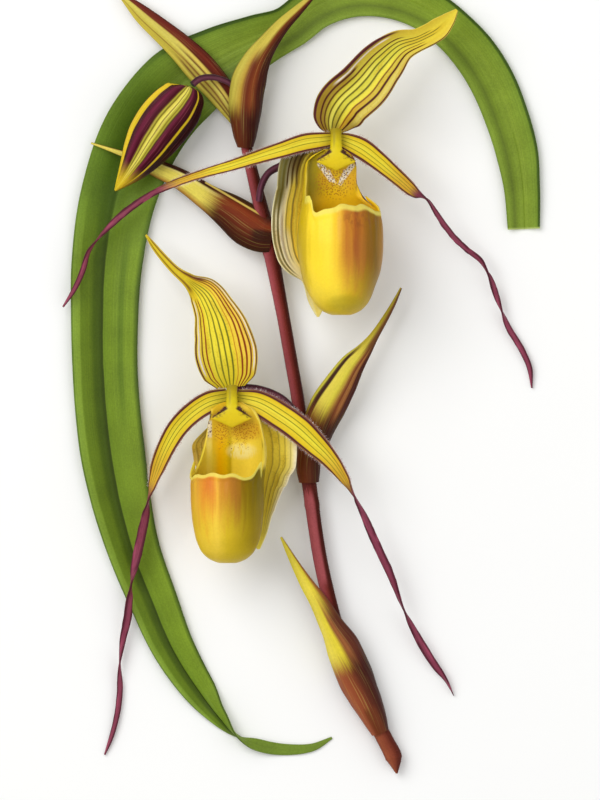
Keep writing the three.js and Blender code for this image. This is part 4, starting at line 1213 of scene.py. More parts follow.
@dataclass(frozen=True)
class ColumnFinish:
    """The column: olive at its root, yellow along its neck and gold on its shield."""

    name: str = "column_wax"
    wedges: tuple[tuple[Span, Span], ...] = ()  # ends of the dark strokes on its shield
    roughness: float = 0.4

    def build(self, plan: Plan) -> Material:
        """Builds the material.

        Args:
            plan: The plan that painted places lie on.

        Returns:
            The material.
        """
        g = Graph(self.name, self.roughness, plan)
        colour: Paint = g.ramp(g.wobble(g.along, g.weave((6, 6, 1), 2.0), 0.06), [
            (0.0, 150, 130, 20), (0.16, 178, 156, 16), (0.36, 210, 190, 20), (0.6, 222, 198, 28),
            (0.8, 222, 194, 26), (1.0, 212, 184, 24),
        ])
        # Painted shade: an olive line down one side of the neck.
        painted_neck_shade = g.times(g.line(g.across, 0.31, 0.05), g.step(g.along, 0.55, 0.3))
        colour = g.over(colour, (158, 142, 24), painted_neck_shade, 0.6)
        for start, end in self.wedges:
            colour = g.over(colour, (58, 16, 30), g.stroke(start, end, 2.6), 0.95)
        return g.close(g.grained(colour, 0.06), g.noise((1400, 700, 1400), 3.0), 0.08)


@dataclass(frozen=True)
class HairFinish:
    """Hairs or warts: one colour, fading to a paler one here and there."""

    name: str
    colour: Colour
    pale: Colour
    roughness: float = 0.5

    def build(self, plan: Plan) -> Material:
        """Builds the material.

        Args:
            plan: The plan that painted places lie on.

        Returns:
            The material.
        """
        g = Graph(self.name, self.roughness, plan)
        shade = g.step(g.noise((700, 700, 700), 2.0), 0.35, 0.65)
        return g.close(g.mix(shade, self.colour, self.pale))


@dataclass(frozen=True)
class FloorFinish:
    """The plain pale floor."""

    name: str = "floor_paint"
    roughness: float = 0.9

    def build(self, plan: Plan) -> Material:
        """Builds the material."""
        g = Graph(self.name, self.roughness, plan, gloss=0.1)
        return g.close(g.mix(g.noise((9, 9, 9), 2.0), (250, 250, 248), (247, 247, 246)))


# ---------------------------------------------------------------- blades


@dataclass
class Piece:
    """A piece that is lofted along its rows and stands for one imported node."""

    name: str
    node: str
    slot: str
    rows: Rows
    finish: Finish
    plan: Plan
    steps: int  # spans along the loft

    def mesh(self) -> Mesh:
        """The piece's closed mesh, which each kind of piece lofts in its own way."""
        raise NotImplementedError

    def build(self) -> bpy.types.Object:
        """Makes the piece and dresses it."""
        return add_piece(self.mesh(), self.name, self.finish.build(self.plan), self.node)


@dataclass
class Blade(Piece):
    """A leaf, bract, sepal or petal: a thin shell lofted along its midrib."""

    thick: float
    across: int  # spans from margin to margin
    keel: float = 0.0
    fade_edge: float = 0.55  # share of the thickness that is lost at the margins
    thin_start: float = 0.0  # share of the thickness that is lost at the base

    def shares(self) -> Array:
        """Places across the blade from -1 to 1, closer together near the margins."""
        even = np.linspace(-1, 1, self.across + 1)
        return 0.55 * even + 0.45 * np.sin(even * np.pi / 2)

    def section(self, v: Array, half: Array, bend: Array) -> Pair:
        """The blade's cross section: an arc.

        Args:
            v: Places across, from -1 to 1.
            half: Half widths along the blade.
            bend: Half angles of the arc in degrees along the blade.

        Returns:
            How far to the side and how far out of the face each point lies.
        """
        angle = np.radians(np.where(np.abs(bend) < 1, 1.0, bend))[:, None]
        radius = np.sign(angle) * half[:, None] / np.sin(np.minimum(np.abs(angle), np.pi / 2))
        return radius * np.sin(v[None] * angle), radius * (1 - np.cos(v[None] * angle))

    def height(self, t: Array, v: Array) -> Array:
        """How far the whole blade is lifted out of its section; none here."""
        return np.zeros((len(t), len(v)))

    def relief(self, t: Array, v: Array) -> Array:
        """Height of the ridges on the blade's face; none here."""
        return np.zeros((len(t), len(v)))

    def mesh(self) -> Mesh:
        """Lofts the blade's closed shell along its midrib.

        Returns:
            The mesh, with its pattern coordinates and a mark on the side that faces down.
        """
        path = Path(self.plan.metres(self.rows))
        t = np.linspace(0, 1, self.steps + 1)
        v = self.shares()
        row = path.at(t)
        place, half_width, roll, bend = row[:, None, :3], row[:, 3], row[:, 4], row[:, 5]
        side, face = path.frames(t, roll)
        sideways, up = self.section(v, half_width, bend)
        fade = np.sin(np.pi * t)[:, None]
        way = np.where(bend < 0, -1, 1)[:, None]
        up = up - way * self.keel * fade * (1 - np.abs(v[None])) ** 2 + self.height(t, v)
        run, rise = np.gradient(sideways, axis=1), np.gradient(up, axis=1)
        length = np.hypot(run, rise) + 1e-12
        out_side, out_up = -rise / length, run / length
        slim = np.minimum(1.0, half_width / (1.2 * self.thick))[:, None]
        half = self.thick / 2 * slim * (1 - self.fade_edge * np.abs(v[None]) ** 6)
        half = half * (1 - self.thin_start * smooth(0.05, 0.0, t))[:, None]
        ridge = self.relief(t, v)

        def lift(offset: Array) -> Array:
            """The points that lie an offset out of the section."""
            x, y = sideways + out_side * offset, up + out_up * offset
            return place + x[..., None] * side[:, None] + y[..., None] * face[:, None]

        top, under = lift(half + ridge), lift(-half + 0.5 * ridge)
        rings = np.concatenate([top, under[:, ::-1]], axis=1)
        u = (v + 1) / 2
        ring_u = np.concatenate([u, u[::-1], u[:1]])
        below = np.concatenate([np.zeros_like(v), np.ones_like(v)])
        return skin(self.name, rings, ring_u, t, {"under": np.tile(below, (len(t), 1))})


@dataclass
class StrapLeaf(Blade):
    """The strap leaf, with a channel along its middle."""

    channel: float = 0.06  # place of the channel's line across the leaf, from -1 to 1
    crease: float = 0.3 * MM  # the channel's depth
    rib: float = 0.035 * MM
    wave: float = 0.22 * MM

    def section(self, v: Array, half: Array, bend: Array) -> Pair:
        """A flat strip along the middle with sides that rise by bend millimetres."""
        out = np.maximum(np.abs(v) - LEAF_FLAT, 0) / (1 - LEAF_FLAT)
        return v[None] * half[:, None], bend[:, None] * MM * out[None]

    def height(self, t: Array, v: Array) -> Array:
        """Slow waves along the margins.

        Args:
            t: Places along the blade, from 0 to 1.
            v: Places across it, from -1 to 1.

        Returns:
            One height a point, in metres.
        """
        side = np.where(v > 0, 0.0, 1.7)[None]
        wave = np.sin(46 * t[:, None] + side) + 0.6 * np.sin(103 * t[:, None] + 2.3 * side)
        return self.wave * wave * np.abs(v[None]) ** 2.5 * smooth(0, 0.04, t)[:, None]

    def relief(self, t: Array, v: Array) -> Array:
        """The channel's crease and faint parallel ribs."""
        ridges = self.rib * np.sin(v * 58) - self.crease * bell(v, self.channel, 0.035)
        return ridges[None] * smooth(1, 0.9, t)[:, None]


@dataclass
class Bract(Blade):
    """A folded bract with fine ribs."""

    ribs: int = 9
    rib: float = 0.07 * MM  # a rib's height

    def relief(self, t: Array, v: Array) -> Array:
        """Ribs that sink towards the margins and the tip."""
        wave = self.rib * np.cos(v * np.pi * self.ribs)
        return wave[None] * np.sin(np.pi * t)[:, None] ** 0.5


@dataclass
class Sepal(Blade):
    """A sepal whose veins stand out a little."""

    veins: tuple[float, ...] = ()
    fold: Optional[Place] = None  # margin, start and end of a recurved margin
    vein_height: float = 0.11 * MM
    wave: float = 0.16 * MM
    curl: float = 0.9 * MM  # how far a recurved margin lifts
    gutter: float = 0.5 * MM  # how deep the gutter beside it is

    def height(self, t: Array, v: Array) -> Array:
        """A recurved margin, if there is one, and slow waves along both.

        Args:
            t: Places along the blade, from 0 to 1.
            v: Places across it, from -1 to 1.

        Returns:
            One height a point, in metres.
        """
        lag = np.where(v > 0, 0, 2.1)[None]
        wave = self.wave * np.sin(31 * t[:, None] + lag) * np.abs(v[None]) ** 3
        wave = wave * np.sin(np.pi * t)[:, None]
        if self.fold is None:
            return wave
        margin, start, end = self.fold
        reach = (smooth(start - 0.06, start + 0.04, t) * smooth(end + 0.06, end - 0.04, t))[:, None]
        lip = self.curl * bell(v, margin * 0.94, 0.07) - self.gutter * bell(v, margin * 0.8, 0.07)
        return wave + reach * lip[None]

    def relief(self, t: Array, v: Array) -> Array:
        """The veins, highest at mid length."""
        total = sum(bell((v + 1) / 2, place, 0.014) for place in self.veins)
        return self.vein_height * total * np.sin(np.pi * np.minimum(t * 1.1 + 0.05, 1))[:, None]


@dataclass
class Petal(Blade):
    """A petal that runs out into a long twisted tail."""

    veins: tuple[float, ...] = ()
    waves: int = 5
    frills: int = 23
    wave: float = 0.35 * MM
    frill: float = 0.12 * MM
    vein_height: float = 0.1 * MM

    def height(self, t: Array, v: Array) -> Array:
        """The wave of the margins, with a finer frill on it.

        Args:
            t: Places along the blade, from 0 to 1.
            v: Places across it, from -1 to 1.

        Returns:
            One height a point, in metres.
        """
        lag = np.where(v > 0, 0.0, 1.0)[None]
        fade = np.sin(np.pi * t)[:, None]
        slow = self.wave * np.sin(2 * np.pi * self.waves * t[:, None] + lag)
        fine = self.frill * np.sin(2 * np.pi * self.frills * t[:, None] + 3 * lag)
        return fade * v[None] ** 2 * (slow + fine * np.abs(v[None]) ** 3)

    def relief(self, t: Array, v: Array) -> Array:
        """Veins on the broad part."""
        total = sum(bell((v + 1) / 2, place, 0.02) for place in self.veins)
        return self.vein_height * total * smooth(0.5, 0.3, t)[:, None]

    def margins(self, reach: Span) -> Mesh:
        """The strips along both margins that the fringe grows on.

        Args:
            reach: Where along the petal the fringe starts and ends.

        Returns:
            A mesh of those faces alone.
        """
        whole = self.mesh()
        around = 2 * (self.across + 1)
        low, high = (int(share * self.steps) for share in reach)
        k = np.arange(low, high)[:, None]
        j = np.array([self.across, around - 1])[None]
        here, above, after = k * around, (k + 1) * around, (j + 1) % around
        faces = np.stack([here + j, here + after, above + after, above + j], axis=-1)
        return cut_out(whole, f"{self.name}_margins", faces.reshape(-1, 4).tolist())


# ---------------------------------------------------------------- round pieces


@dataclass
class Stem(Piece):
    """A stalk, ovary, bud or column: a round loft along its axis."""

    sides: int
    flatten: float = 1.0  # half depth as a share of half width, where the rows give no depth

    def swelling(self, t: Array, angle: Array) -> Array:
        """How much wider than its rows the stem is; slow, shallow unevenness here."""
        along, turn = t[:, None], angle[None]
        return 1 + 0.012 * np.sin(37 * along + 2 * turn) + 0.01 * np.sin(91 * along - 3 * turn)

    def mesh(self) -> Mesh:
        """Lofts the stem's closed mesh along its axis.

        Returns:
            The mesh, with its pattern coordinates.
        """
        if len(self.rows[0]) > 4:
            path = Path(self.plan.metres(self.rows, [4]))
        else:
            given = self.plan.metres(self.rows)
            path = Path(np.column_stack([given, given[:, 3] * self.flatten]))
        t = np.linspace(0, 1, self.steps + 1)
        row = path.at(t)
        side, face = path.frames(t, np.zeros(len(t)))
        angle = 2 * np.pi * (np.arange(self.sides) + 0.5) / self.sides
        swell = self.swelling(t, angle)
        wide = -row[:, 3:4] * swell * np.cos(angle)[None]
        deep = row[:, 4:5] * swell * np.sin(angle)[None]
        rings = row[:, None, :3] + wide[..., None] * side[:, None] + deep[..., None] * face[:, None]
        u = (np.arange(self.sides + 1) + 0.5) / self.sides
        return skin(self.name, rings, u, t)


@dataclass
class Bud(Stem):
    """The closed bud with its ribs."""

    ribs: int = 6
    rib_height: float = 0.045  # as a share of the bud's half width
    seams: tuple[float, ...] = (0.136, 0.218, 0.302, 0.421, 0.61, 0.81)  # places round the bud
    seam_depth: float = 0.03

    def swelling(self, t: Array, angle: Array) -> Array:
        """Broad ribs, with narrow seams where the sepals meet.

        Args:
            t: Places along the stem, from 0 to 1.
            angle: Angles round it, in radians.

        Returns:
            How much wider than its rows each point lies.
        """
        broad = self.rib_height * np.cos(self.ribs * angle)[None]
        seams = sum(bell(angle / (2 * np.pi), place, 0.006) for place in self.seams)
        return 1 + broad - self.seam_depth * seams[None] * np.sin(np.pi * t)[:, None]


@dataclass
class FlowerStalk(Stem):
    """The flower stalk, with a ring at each joint."""

    joints: tuple[float, ...] = ()
    ring_height: float = 0.07  # as a share of the stalk's half width
    furrow_depth: float = 0.02

    def swelling(self, t: Array, angle: Array) -> Array:
        """Low rings at the joints and shallow furrows along the stalk.

        Args:
            t: Places along the stem, from 0 to 1.
            angle: Angles round it, in radians.

        Returns:
            How much wider than its rows each point lies.
        """
        rings = sum(bell(t, place, 0.005) for place in self.joints)
        furrows = self.furrow_depth * np.sin(5 * angle[None] + 4 * t[:, None])
        return 1 + self.ring_height * rings[:, None] + furrows


# ---------------------------------------------------------------- slipper lips


@dataclass(frozen=True)
class LipShape:
    """What sets one lip's shape apart; its parts' places are shares of the way up its rows."""

    rows: Rows
    shoulder: float  # where the wall turns in
    front: float  # how high the front rim stands
    corner: float  # how high the rim stands beside the horns
    horn: float  # how high the horns stand
    turn: float  # degrees that the mouth is turned to one side
    shelf: float = 180.0  # degrees from the front at which the left horn's flat top starts


@dataclass
class SlipperLip:
    """The lip: a hollow pouch, open above its front rim, with a back wall up to the column."""

    flower: Flower
    shape: LipShape
    plan: Plan
    back: float = 1.0  # how high the back wall stands, as a share of the path
    wall: float = 0.8 * MM
    fold: float = 0.12 * MM  # how deep the fine folds below the rim are
    rolled: float = 0.45 * MM  # how far the front rim rolls outwards
    horn_place: float = 72.0  # degrees from the front at which the horns stand
    sides: int = 144
    low_rings: int = 56
    high_rings: int = 34
    shoulder_share: float = 0.66  # share of the rings' way that lies below the shoulder
    toe: float = 0.02  # where the lowest ring lies; a fan closes the toe
    ripple: float = 0.007  # height of the front rim's scallops, as a share of the path
    flare: float = 0.07  # how far the horns curl outwards, as a share of the half width
    freckled: Span = (0.82, 0.94)  # how far up the wall the bib's warts lie

    def __post_init__(self) -> None:
        """Lays the pouch's path."""
        self.path = Path(self.plan.metres(self.shape.rows, [4, 5]))

    def reach(self, angle: Array) -> Array:
        """How far up the wall reaches.

        Args:
            angle: Angles round the pouch, in radians from straight ahead.

        Returns:
            Shares of the way along the path.
        """
        degrees, shape = self._from_front(angle), self.shape
        front = shape.front + (shape.corner - shape.front) * smooth(15, 60, degrees)
        ripple = self.ripple * np.sin(11 * angle) * smooth(62, 46, degrees)
        flat = smooth(shape.shelf - 2, shape.shelf + 2, degrees) * (np.sin(angle) < 0)
        horns = np.maximum(bell(degrees, self.horn_place, 9), flat)
        edge = front + ripple + (shape.horn - front) * horns
        return edge + (self.back - edge) * smooth(85, 100, degrees)

    def _from_front(self, angle: Array) -> Array:
        """Degrees between a place on the pouch and its front."""
        turned = angle - math.radians(self.shape.turn) + np.pi
        return np.degrees(np.abs(np.mod(turned, 2 * np.pi) - np.pi))

    def point(self, angle: Array, share: Array) -> Array:
        """Points on the outside of the pouch.

        Args:
            angle: Angles round it, in radians from straight ahead.
            share: How far up the wall, from 0 at the toe to 1 at the rim.

        Returns:
            The points.
        """
        shoulder = self.shape.shoulder
        low = np.minimum(share / self.shoulder_share, 1) * shoulder
        climbed = np.maximum(share - self.shoulder_share, 0) / (1 - self.shoulder_share)
        row = self.path.at(low + climbed * (self.reach(angle) - shoulder))
        depth = np.where(np.cos(angle) > 0, row[..., 4], row[..., 5])
        horns = bell(self._from_front(angle), self.horn_place, 11) * smooth(0.86, 1, share)
        x = row[..., 0] + row[..., 3] * np.sin(angle) * (1 + self.flare * horns)
        return np.stack([x, row[..., 1], row[..., 2] + depth * np.cos(angle)], axis=-1)

    def inward(self, angle: Array, share: Array) -> Array:
        """Unit vectors into the pouch, square to its wall.

        Args:
            angle: Angles round it, in radians from straight ahead.
            share: How far up the wall, from 0 at the toe to 1 at the rim.

        Returns:
            The vectors.
        """
        around = self.point(angle + 0.03, share) - self.point(angle - 0.03, share)
        above, below = np.minimum(share + 0.01, 1), share - 0.01
        return unit(np.cross(self.point(angle, above) - self.point(angle, below), around))

    def mesh(self) -> Mesh:
        """Makes the pouch's closed shell, with a rolled front rim.

        Returns:
            The mesh, with marks for its inside, its rim and its back.
        """
        low = self.toe + (1 - self.toe) * np.linspace(0, 1, self.low_rings + 1) ** 1.25
        high = np.linspace(0, 1, self.high_rings + 1)[1:]
        high_share = self.shoulder_share + (1 - self.shoulder_share) * high
        share = np.concatenate([low * self.shoulder_share, high_share])
        angle = 2 * np.pi * np.arange(self.sides) / self.sides
        a, s = np.meshgrid(angle, share)
        inward = self.inward(a, s)
        degrees = self._from_front(a)
        ahead = smooth(80, 66, degrees)
        roll = (smooth(0.84, 0.93, s) * ahead)[..., None]
        folds = np.sin(a * 21) + 0.7 * np.sin(a * 34 + 1)
        crease = self.fold * folds * bell(s, 0.8, 0.22) * ahead
        outer = self.point(a, s) - inward * (roll * self.rolled + crease[..., None])
        edge = smooth(1.0, 0.97, s)[..., None]
        inner = outer + inward * self.wall * (0.45 + 0.55 * edge)
        rings = np.concatenate([outer, inner[::-1]])
        count, sides = len(share), self.sides
        total = 2 * count * sides
        index = np.arange(total).reshape(2 * count, sides)
        start, end = index[0].tolist(), index[-1].tolist()
        fans = [(total, after, here) for here, after in zip(start, start[1:] + start[:1])]
        fans += [(total + 1, here, after) for here, after in zip(end, end[1:] + end[:1])]
        made = bpy.data.meshes.new(f"{self.flower.value}_lip_shell")
        points = np.concatenate([rings.reshape(-1, 3), [rings[0].mean(0), rings[-1].mean(0)]])
        made.from_pydata(points.tolist(), [], walls(index).tolist() + fans)
        within = np.repeat([0.0, 1.0], count * sides)
        carry(made, "inside", np.concatenate([within, [0, 1]]))
        carry(made, "rim", np.concatenate([s.reshape(-1), s[::-1].reshape(-1), [0, 0]]))
        back = smooth(78, 90, degrees).reshape(-1)
        carry(made, "back", np.concatenate([back, back, [0, 0]]))
        made.polygons.foreach_set("use_smooth", [True] * len(made.polygons))
        return made

    def bib(self) -> Mesh:
        """Makes the part of the back wall's inside that carries the warts.

        Returns:
            An open mesh of those faces.
        """
        angle = np.linspace(math.radians(150), math.radians(210), 31)
        a, s = np.meshgrid(angle, np.linspace(*self.freckled, 25))
        places = self.point(a, s) + self.inward(a, s) * self.wall
        index = np.arange(a.size).reshape(a.shape)
        faces = np.stack([index[:-1, :-1], index[1:, :-1], index[1:, 1:], index[:-1, 1:]], axis=-1)
        made = bpy.data.meshes.new(f"{self.flower.value}_bib")
        made.from_pydata(places.reshape(-1, 3).tolist(), [], faces.reshape(-1, 4).tolist())
        return made

    def build(self) -> bpy.types.Object:
        """Makes the lip and dresses it."""
        name = self.flower.value
        finish = LipFinish(self.flower).build(self.plan)
        return add_piece(self.mesh(), f"{name}_lip_shell", finish, f"{name}_lip")


# ---------------------------------------------------------------- what grows on the surfaces


class Growth(Enum):
    """What Geometry Nodes set on a surface."""

    HAIR = "hair"
    WART = "wart"


@dataclass
class Cover:
    """Hairs or warts that are scattered over a surface and stand on it."""

    growth: Growth
    smallest: float = 0.55  # the smallest one's size, as a share of the largest
    tree: Optional[bpy.types.GeometryNodeTree] = field(default=None, init=False)
    sockets: dict[str, str] = field(default_factory=dict, init=False)

    def _input(self, label: str, kind: str) -> None:
        """Gives the tree one named input and keeps its identifier."""
        socket = self.tree.interface.new_socket(label, in_out="INPUT", socket_type=kind)
        self.sockets[label] = socket.identifier

    def _tree(self) -> bpy.types.GeometryNodeTree:
        """Makes the node tree: points on faces, a shape on each, made real and painted.

        Returns:
            The tree.
        """
        self.tree = bpy.data.node_groups.new(f"{self.growth.value}_cover", "GeometryNodeTree")
        self._input("Geometry", "NodeSocketGeometry")
        for label in ("Density", "Length", "Radius", "Tilt"):
            self._input(label, "NodeSocketFloat")
        self._input("Seed", "NodeSocketInt")
        self._input("Material", "NodeSocketMaterial")
        self.tree.interface.new_socket(
            "Geometry", in_out="OUTPUT", socket_type="NodeSocketGeometry"
        )
        made = NodeTree(self.tree)
        given = made.node("NodeGroupInput").outputs
        scatter = made.node("GeometryNodeDistributePointsOnFaces", Mesh=given["Geometry"],
                            Density=given["Density"], Seed=given["Seed"]).outputs
        if self.growth is Growth.HAIR:
            shape = made.node("GeometryNodeMeshCone", Vertices=4, Radius_Bottom=given["Radius"],
                              Depth=given["Length"])
        else:
            shape = made.node("GeometryNodeMeshIcoSphere", Subdivisions=2, Radius=given["Radius"])
        lean = made.node("FunctionNodeRandomValue", Seed=given["Seed"])
        lean.data_type = "FLOAT_VECTOR"
        made.feed(lean.inputs[0], made.sum("MULTIPLY", given["Tilt"], -1.0))
        made.feed(lean.inputs[1], given["Tilt"])
        turn = made.node("FunctionNodeEulerToRotation", Euler=lean.outputs[0])
        turned = made.node("FunctionNodeRotateRotation", Rotation=scatter["Rotation"],
                           Rotate_By=turn.outputs[0])
        turned.rotation_space = "LOCAL"
        size = made.node("FunctionNodeRandomValue", Seed=given["Seed"])
        size.data_type = "FLOAT"
        made.feed(size.inputs[2], self.smallest)
        made.feed(size.inputs[3], 1.0)
        stand = made.node("GeometryNodeInstanceOnPoints", Points=scatter["Points"],
                          Instance=shape.outputs["Mesh"], Rotation=turned.outputs[0],
                          Scale=size.outputs[1])
        real = made.node("GeometryNodeRealizeInstances", Geometry=stand.outputs[0])
        paint = made.node("GeometryNodeSetMaterial", Geometry=real.outputs[0],
                          Material=given["Material"])
        made.node("NodeGroupOutput", Geometry=paint.outputs[0])
        return self.tree

    def grow(
        self, name: str, ground: Mesh, slot: str, material: Material,
        sizes: dict[str, float],
    ) -> bpy.types.Object:
        """Grows the cover on a surface.

        Args:
            name: The new piece's name.
            ground: The surface that it stands on, which is removed afterwards.
            slot: A slot's name, which is not used.
            material: Its material.
            sizes: The tree's inputs by name, in metres, radians and points a square metre.

        Returns:
            The piece, a plain mesh.
        """
        tree = self.tree or self._tree()
        bearer = bpy.data.objects.new(f"{name}_bearer", ground)
        bpy.context.scene.collection.objects.link(bearer)
        modifier = bearer.modifiers.new("cover", "NODES")
        modifier.node_group = tree
        for label, size in sizes.items():
            modifier[self.sockets[label]] = size
        modifier[self.sockets["Material"]] = material
        bpy.context.view_layer.update()
        graph = bpy.context.evaluated_depsgraph_get()
        grown = bpy.data.meshes.new_from_object(bearer.evaluated_get(graph), depsgraph=graph)
        bearer.modifiers.remove(modifier)
        bpy.data.objects.remove(bearer)
        grown.name = name
        return add_piece(grown, name, material)


# ---------------------------------------------------------------- finishes of the single pieces

GOLD, LEMON, YELLOW, STRAW = (222, 190, 30), (230, 216, 58), (242, 222, 80), (224, 206, 78)
OLIVE, PALE, PURPLE = (176, 158, 30), (236, 224, 208), (92, 30, 44)
GREEN_VEIN, BROWN_VEIN = (108, 108, 24), (116, 56, 28)

BRACT_FINISHES = {
    # Bract 1's dark brown over one half is partly painted shade, laid over its own brown.
    1: BractFinish("bract_1_skin", (
        Wash(((0.0, 120, 56, 24), (0.3, 158, 82, 48), (0.44, 136, 66, 36), (0.56, 88, 36, 16),
              (0.68, 64, 18, 8), (1.0, 50, 12, 6))),
        Wash(((0.0, 216, 196, 44), (0.3, *YELLOW), (0.52, 226, 206, 54), (0.59, 136, 76, 34),
              (0.66, 150, 92, 48), (0.73, 96, 42, 26), (1.0, 70, 28, 20)), 0.3, 0.42),
        Wash(((0.0, 222, 206, 48), (0.4, *YELLOW), (0.72, 224, 204, 56), (0.86, 156, 96, 40),
              (1.0, 110, 60, 30)), 0.55, 0.75),
    ), strokes=(((384, 738), (371, 712), 8.0, (104, 46, 18)),)),
    2: BractFinish("bract_2_skin", (
        Wash(((0.0, 84, 34, 14), (0.3, 114, 52, 22), (0.48, 94, 40, 16), (0.64, 62, 18, 0),
              (1.0, 44, 8, 0))),
        Wash(((0.0, 186, 176, 58), (0.1, 196, 186, 62), (0.15, 62, 30, 14), (0.23, 58, 28, 14),
              (0.27, *STRAW), (0.5, 214, 200, 62), (0.6, 160, 112, 44), (0.68, 116, 54, 26),
              (0.75, 166, 106, 52), (0.82, 76, 24, 12), (1.0, 54, 14, 8)), 0.26, 0.4),
        Wash(((0.0, 196, 178, 50), (0.4, 206, 188, 60), (0.55, 124, 76, 34), (1.0, 70, 34, 20)),
             0.62, 0.72),
    )),
    3: BractFinish("bract_3_skin", (
        Wash(((0.0, 44, 12, 0), (0.25, 76, 26, 4), (0.5, 114, 42, 12), (0.7, 134, 54, 20),
              (0.84, 90, 32, 10), (0.92, 54, 12, 0), (1.0, 44, 14, 6))),
        Wash(((0.0, 116, 54, 18), (0.12, 200, 154, 60), (0.3, 252, 234, 100), (0.62, 250, 232, 100),
              (0.74, 252, 234, 130), (0.8, 60, 18, 6), (1.0, 58, 22, 16)), 0.28, 0.42),
        Wash(((0.0, 96, 54, 22), (0.2, 234, 216, 96), (0.7, 244, 226, 104), (0.9, 120, 72, 32),
              (1.0, 80, 40, 20)), 0.6, 0.75),
    ), strokes=(
        # a painted highlight: a pale line along bract 3's upper edge
        ((206, 182.5), (262, 215.5), 1.4, (232, 204, 100)),
        ((270, 238), (256, 236), 9.0, (50, 14, 0)),
    )),
    4: BractFinish("bract_4_skin", (
        Wash(((0.0, 84, 30, 12), (0.35, 100, 42, 16), (0.6, 62, 14, 4), (1.0, 42, 6, 2))),
        Wash(((0.0, 120, 104, 40), (0.08, 186, 172, 66), (0.2, 196, 180, 72), (0.36, 180, 146, 50),
              (0.43, 126, 70, 24), (0.5, 104, 40, 12), (0.62, 130, 60, 22), (0.74, 70, 16, 4),
              (1.0, 44, 8, 2)), 0.14, 0.26),
        Wash(((0.0, 76, 42, 18), (0.1, 190, 174, 62), (0.46, 204, 184, 72), (0.56, 122, 56, 18),
              (0.75, 72, 18, 6), (1.0, 44, 8, 2)), 0.45, 0.6),
    )),
    5: BractFinish("bract_5_skin", (
        Wash(((0.0, 170, 150, 50), (0.12, 206, 190, 76), (0.19, 104, 58, 28), (0.25, 196, 176, 70),
              (0.32, 120, 72, 30), (0.38, 206, 188, 80), (0.44, 212, 198, 90), (0.49, 104, 52, 26),
              (0.54, 222, 198, 86), (0.6, 212, 182, 82), (0.65, 84, 24, 10), (0.8, 110, 34, 18),
              (1.0, 62, 12, 4))),
        Wash(((0.0, 206, 186, 66), (0.24, 196, 178, 62), (0.28, 150, 112, 46), (0.32, 202, 186, 70),
              (0.5, 216, 202, 92), (0.6, 206, 186, 84), (0.66, 116, 44, 22), (0.85, 106, 30, 20),
              (1.0, 72, 18, 8)), 0.4, 0.62),
    )),
}

# Painted shade: the dark olive wash at the left of the base and the darker wash in the middle of
# the tip; the pale streak at 0.42 is a painted highlight.
UPPER_DORSAL_WASHES = (
    Vein(0.71, 0.08, (204, 152, 34), 0.0, 0.26, 0.65, 0.14),
    Vein(0.16, 0.15, (146, 112, 30), 0.0, 0.26, 0.7, 0.16),
    Vein(0.64, 0.05, (240, 226, 66), 0.12, 0.5, 0.7, 0.1),
    Vein(0.42, 0.06, (236, 228, 96), 0.06, 0.4, 0.6, 0.1),
    Vein(0.5, 0.16, (200, 164, 30), 0.68, 0.86, 0.5, 0.08),
)
UPPER_DORSAL_VEINS = (
    Vein(0.98, 0.028, (84, 34, 30)), Vein(0.8, 0.034, (74, 18, 16), 0.0, 0.72),
    Vein(0.69, 0.022, (120, 66, 22), 0.0, 0.72, 0.9),
    Vein(0.57, 0.024, (88, 80, 18), 0.0, 0.8, 0.9), Vein(0.46, 0.024, (88, 84, 20), 0.0, 0.84, 0.9),
    Vein(0.36, 0.024, (92, 78, 20), 0.0, 0.78, 0.9), Vein(0.26, 0.026, (98, 62, 22), 0.0, 0.62),
    Vein(0.17, 0.028, (82, 36, 22), 0.0, 0.36), Vein(0.12, 0.03, PALE, 0.26, 0.56),
    Vein(0.035, 0.045, (84, 28, 38), 0.0, 0.6),
)
LOWER_DORSAL_VEINS = (
    Vein(0.985, 0.016, PURPLE, 0.0, 0.66), Vein(0.945, 0.018, PALE, 0.12, 0.6),
    Vein(0.895, 0.021, BROWN_VEIN, 0.0, 0.66), Vein(0.82, 0.024, (136, 48, 16), 0.0, 0.68),
    Vein(0.74, 0.023, (136, 54, 16), 0.0, 0.68), Vein(0.66, 0.012, (190, 110, 30), 0.0, 0.6, 0.8),
    Vein(0.58, 0.02, GREEN_VEIN, 0.0, 0.62), Vein(0.49, 0.02, GREEN_VEIN, 0.0, 0.62, 0.95),
    Vein(0.4, 0.02, GREEN_VEIN, 0.0, 0.62, 0.9), Vein(0.3, 0.018, GREEN_VEIN, 0.0, 0.6, 0.85),
    Vein(0.2, 0.018, (146, 66, 28), 0.0, 0.5), Vein(0.13, 0.016, BROWN_VEIN, 0.0, 0.5),
    Vein(0.075, 0.024, PALE, 0.12, 0.5), Vein(0.02, 0.022, PURPLE, 0.0, 0.55),
    Vein(0.86, 0.13, (96, 36, 34), 0.6, 0.95, 0.9),
    Vein(0.14, 0.13, (120, 76, 30), 0.62, 0.95, 0.8),
)
UPPER_DORSAL_GROUND = (
    (0.0, 186, 152, 50), (0.15, 196, 174, 54), (0.35, 212, 202, 62), (0.6, 218, 210, 70),
    (0.8, 206, 178, 56), (0.9, 216, 200, 100), (1.0, 188, 154, 52),
)
LOWER_DORSAL_GROUND = (
    (0.0, 236, 208, 64), (0.2, 236, 210, 52), (0.3, 240, 224, 60), (0.6, 232, 212, 48),
    (0.66, 238, 206, 56), (0.9, 246, 204, 78), (1.0, 226, 194, 70),
)
UPPER_SYNSEPAL_GROUND = (
    (0.0, 222, 206, 120), (0.25, 232, 200, 60), (0.6, 240, 206, 52), (0.72, 250, 220, 76),
    (0.78, 255, 244, 180), (0.88, 255, 250, 214), (1.0, 255, 248, 206),
)
LOWER_SYNSEPAL_GROUND = (
    (0.0, 252, 240, 206), (0.05, 248, 232, 140), (0.12, 246, 222, 80), (0.3, 255, 230, 70),
    (0.6, 255, 232, 72), (0.85, 240, 210, 90), (1.0, 220, 190, 84),
)
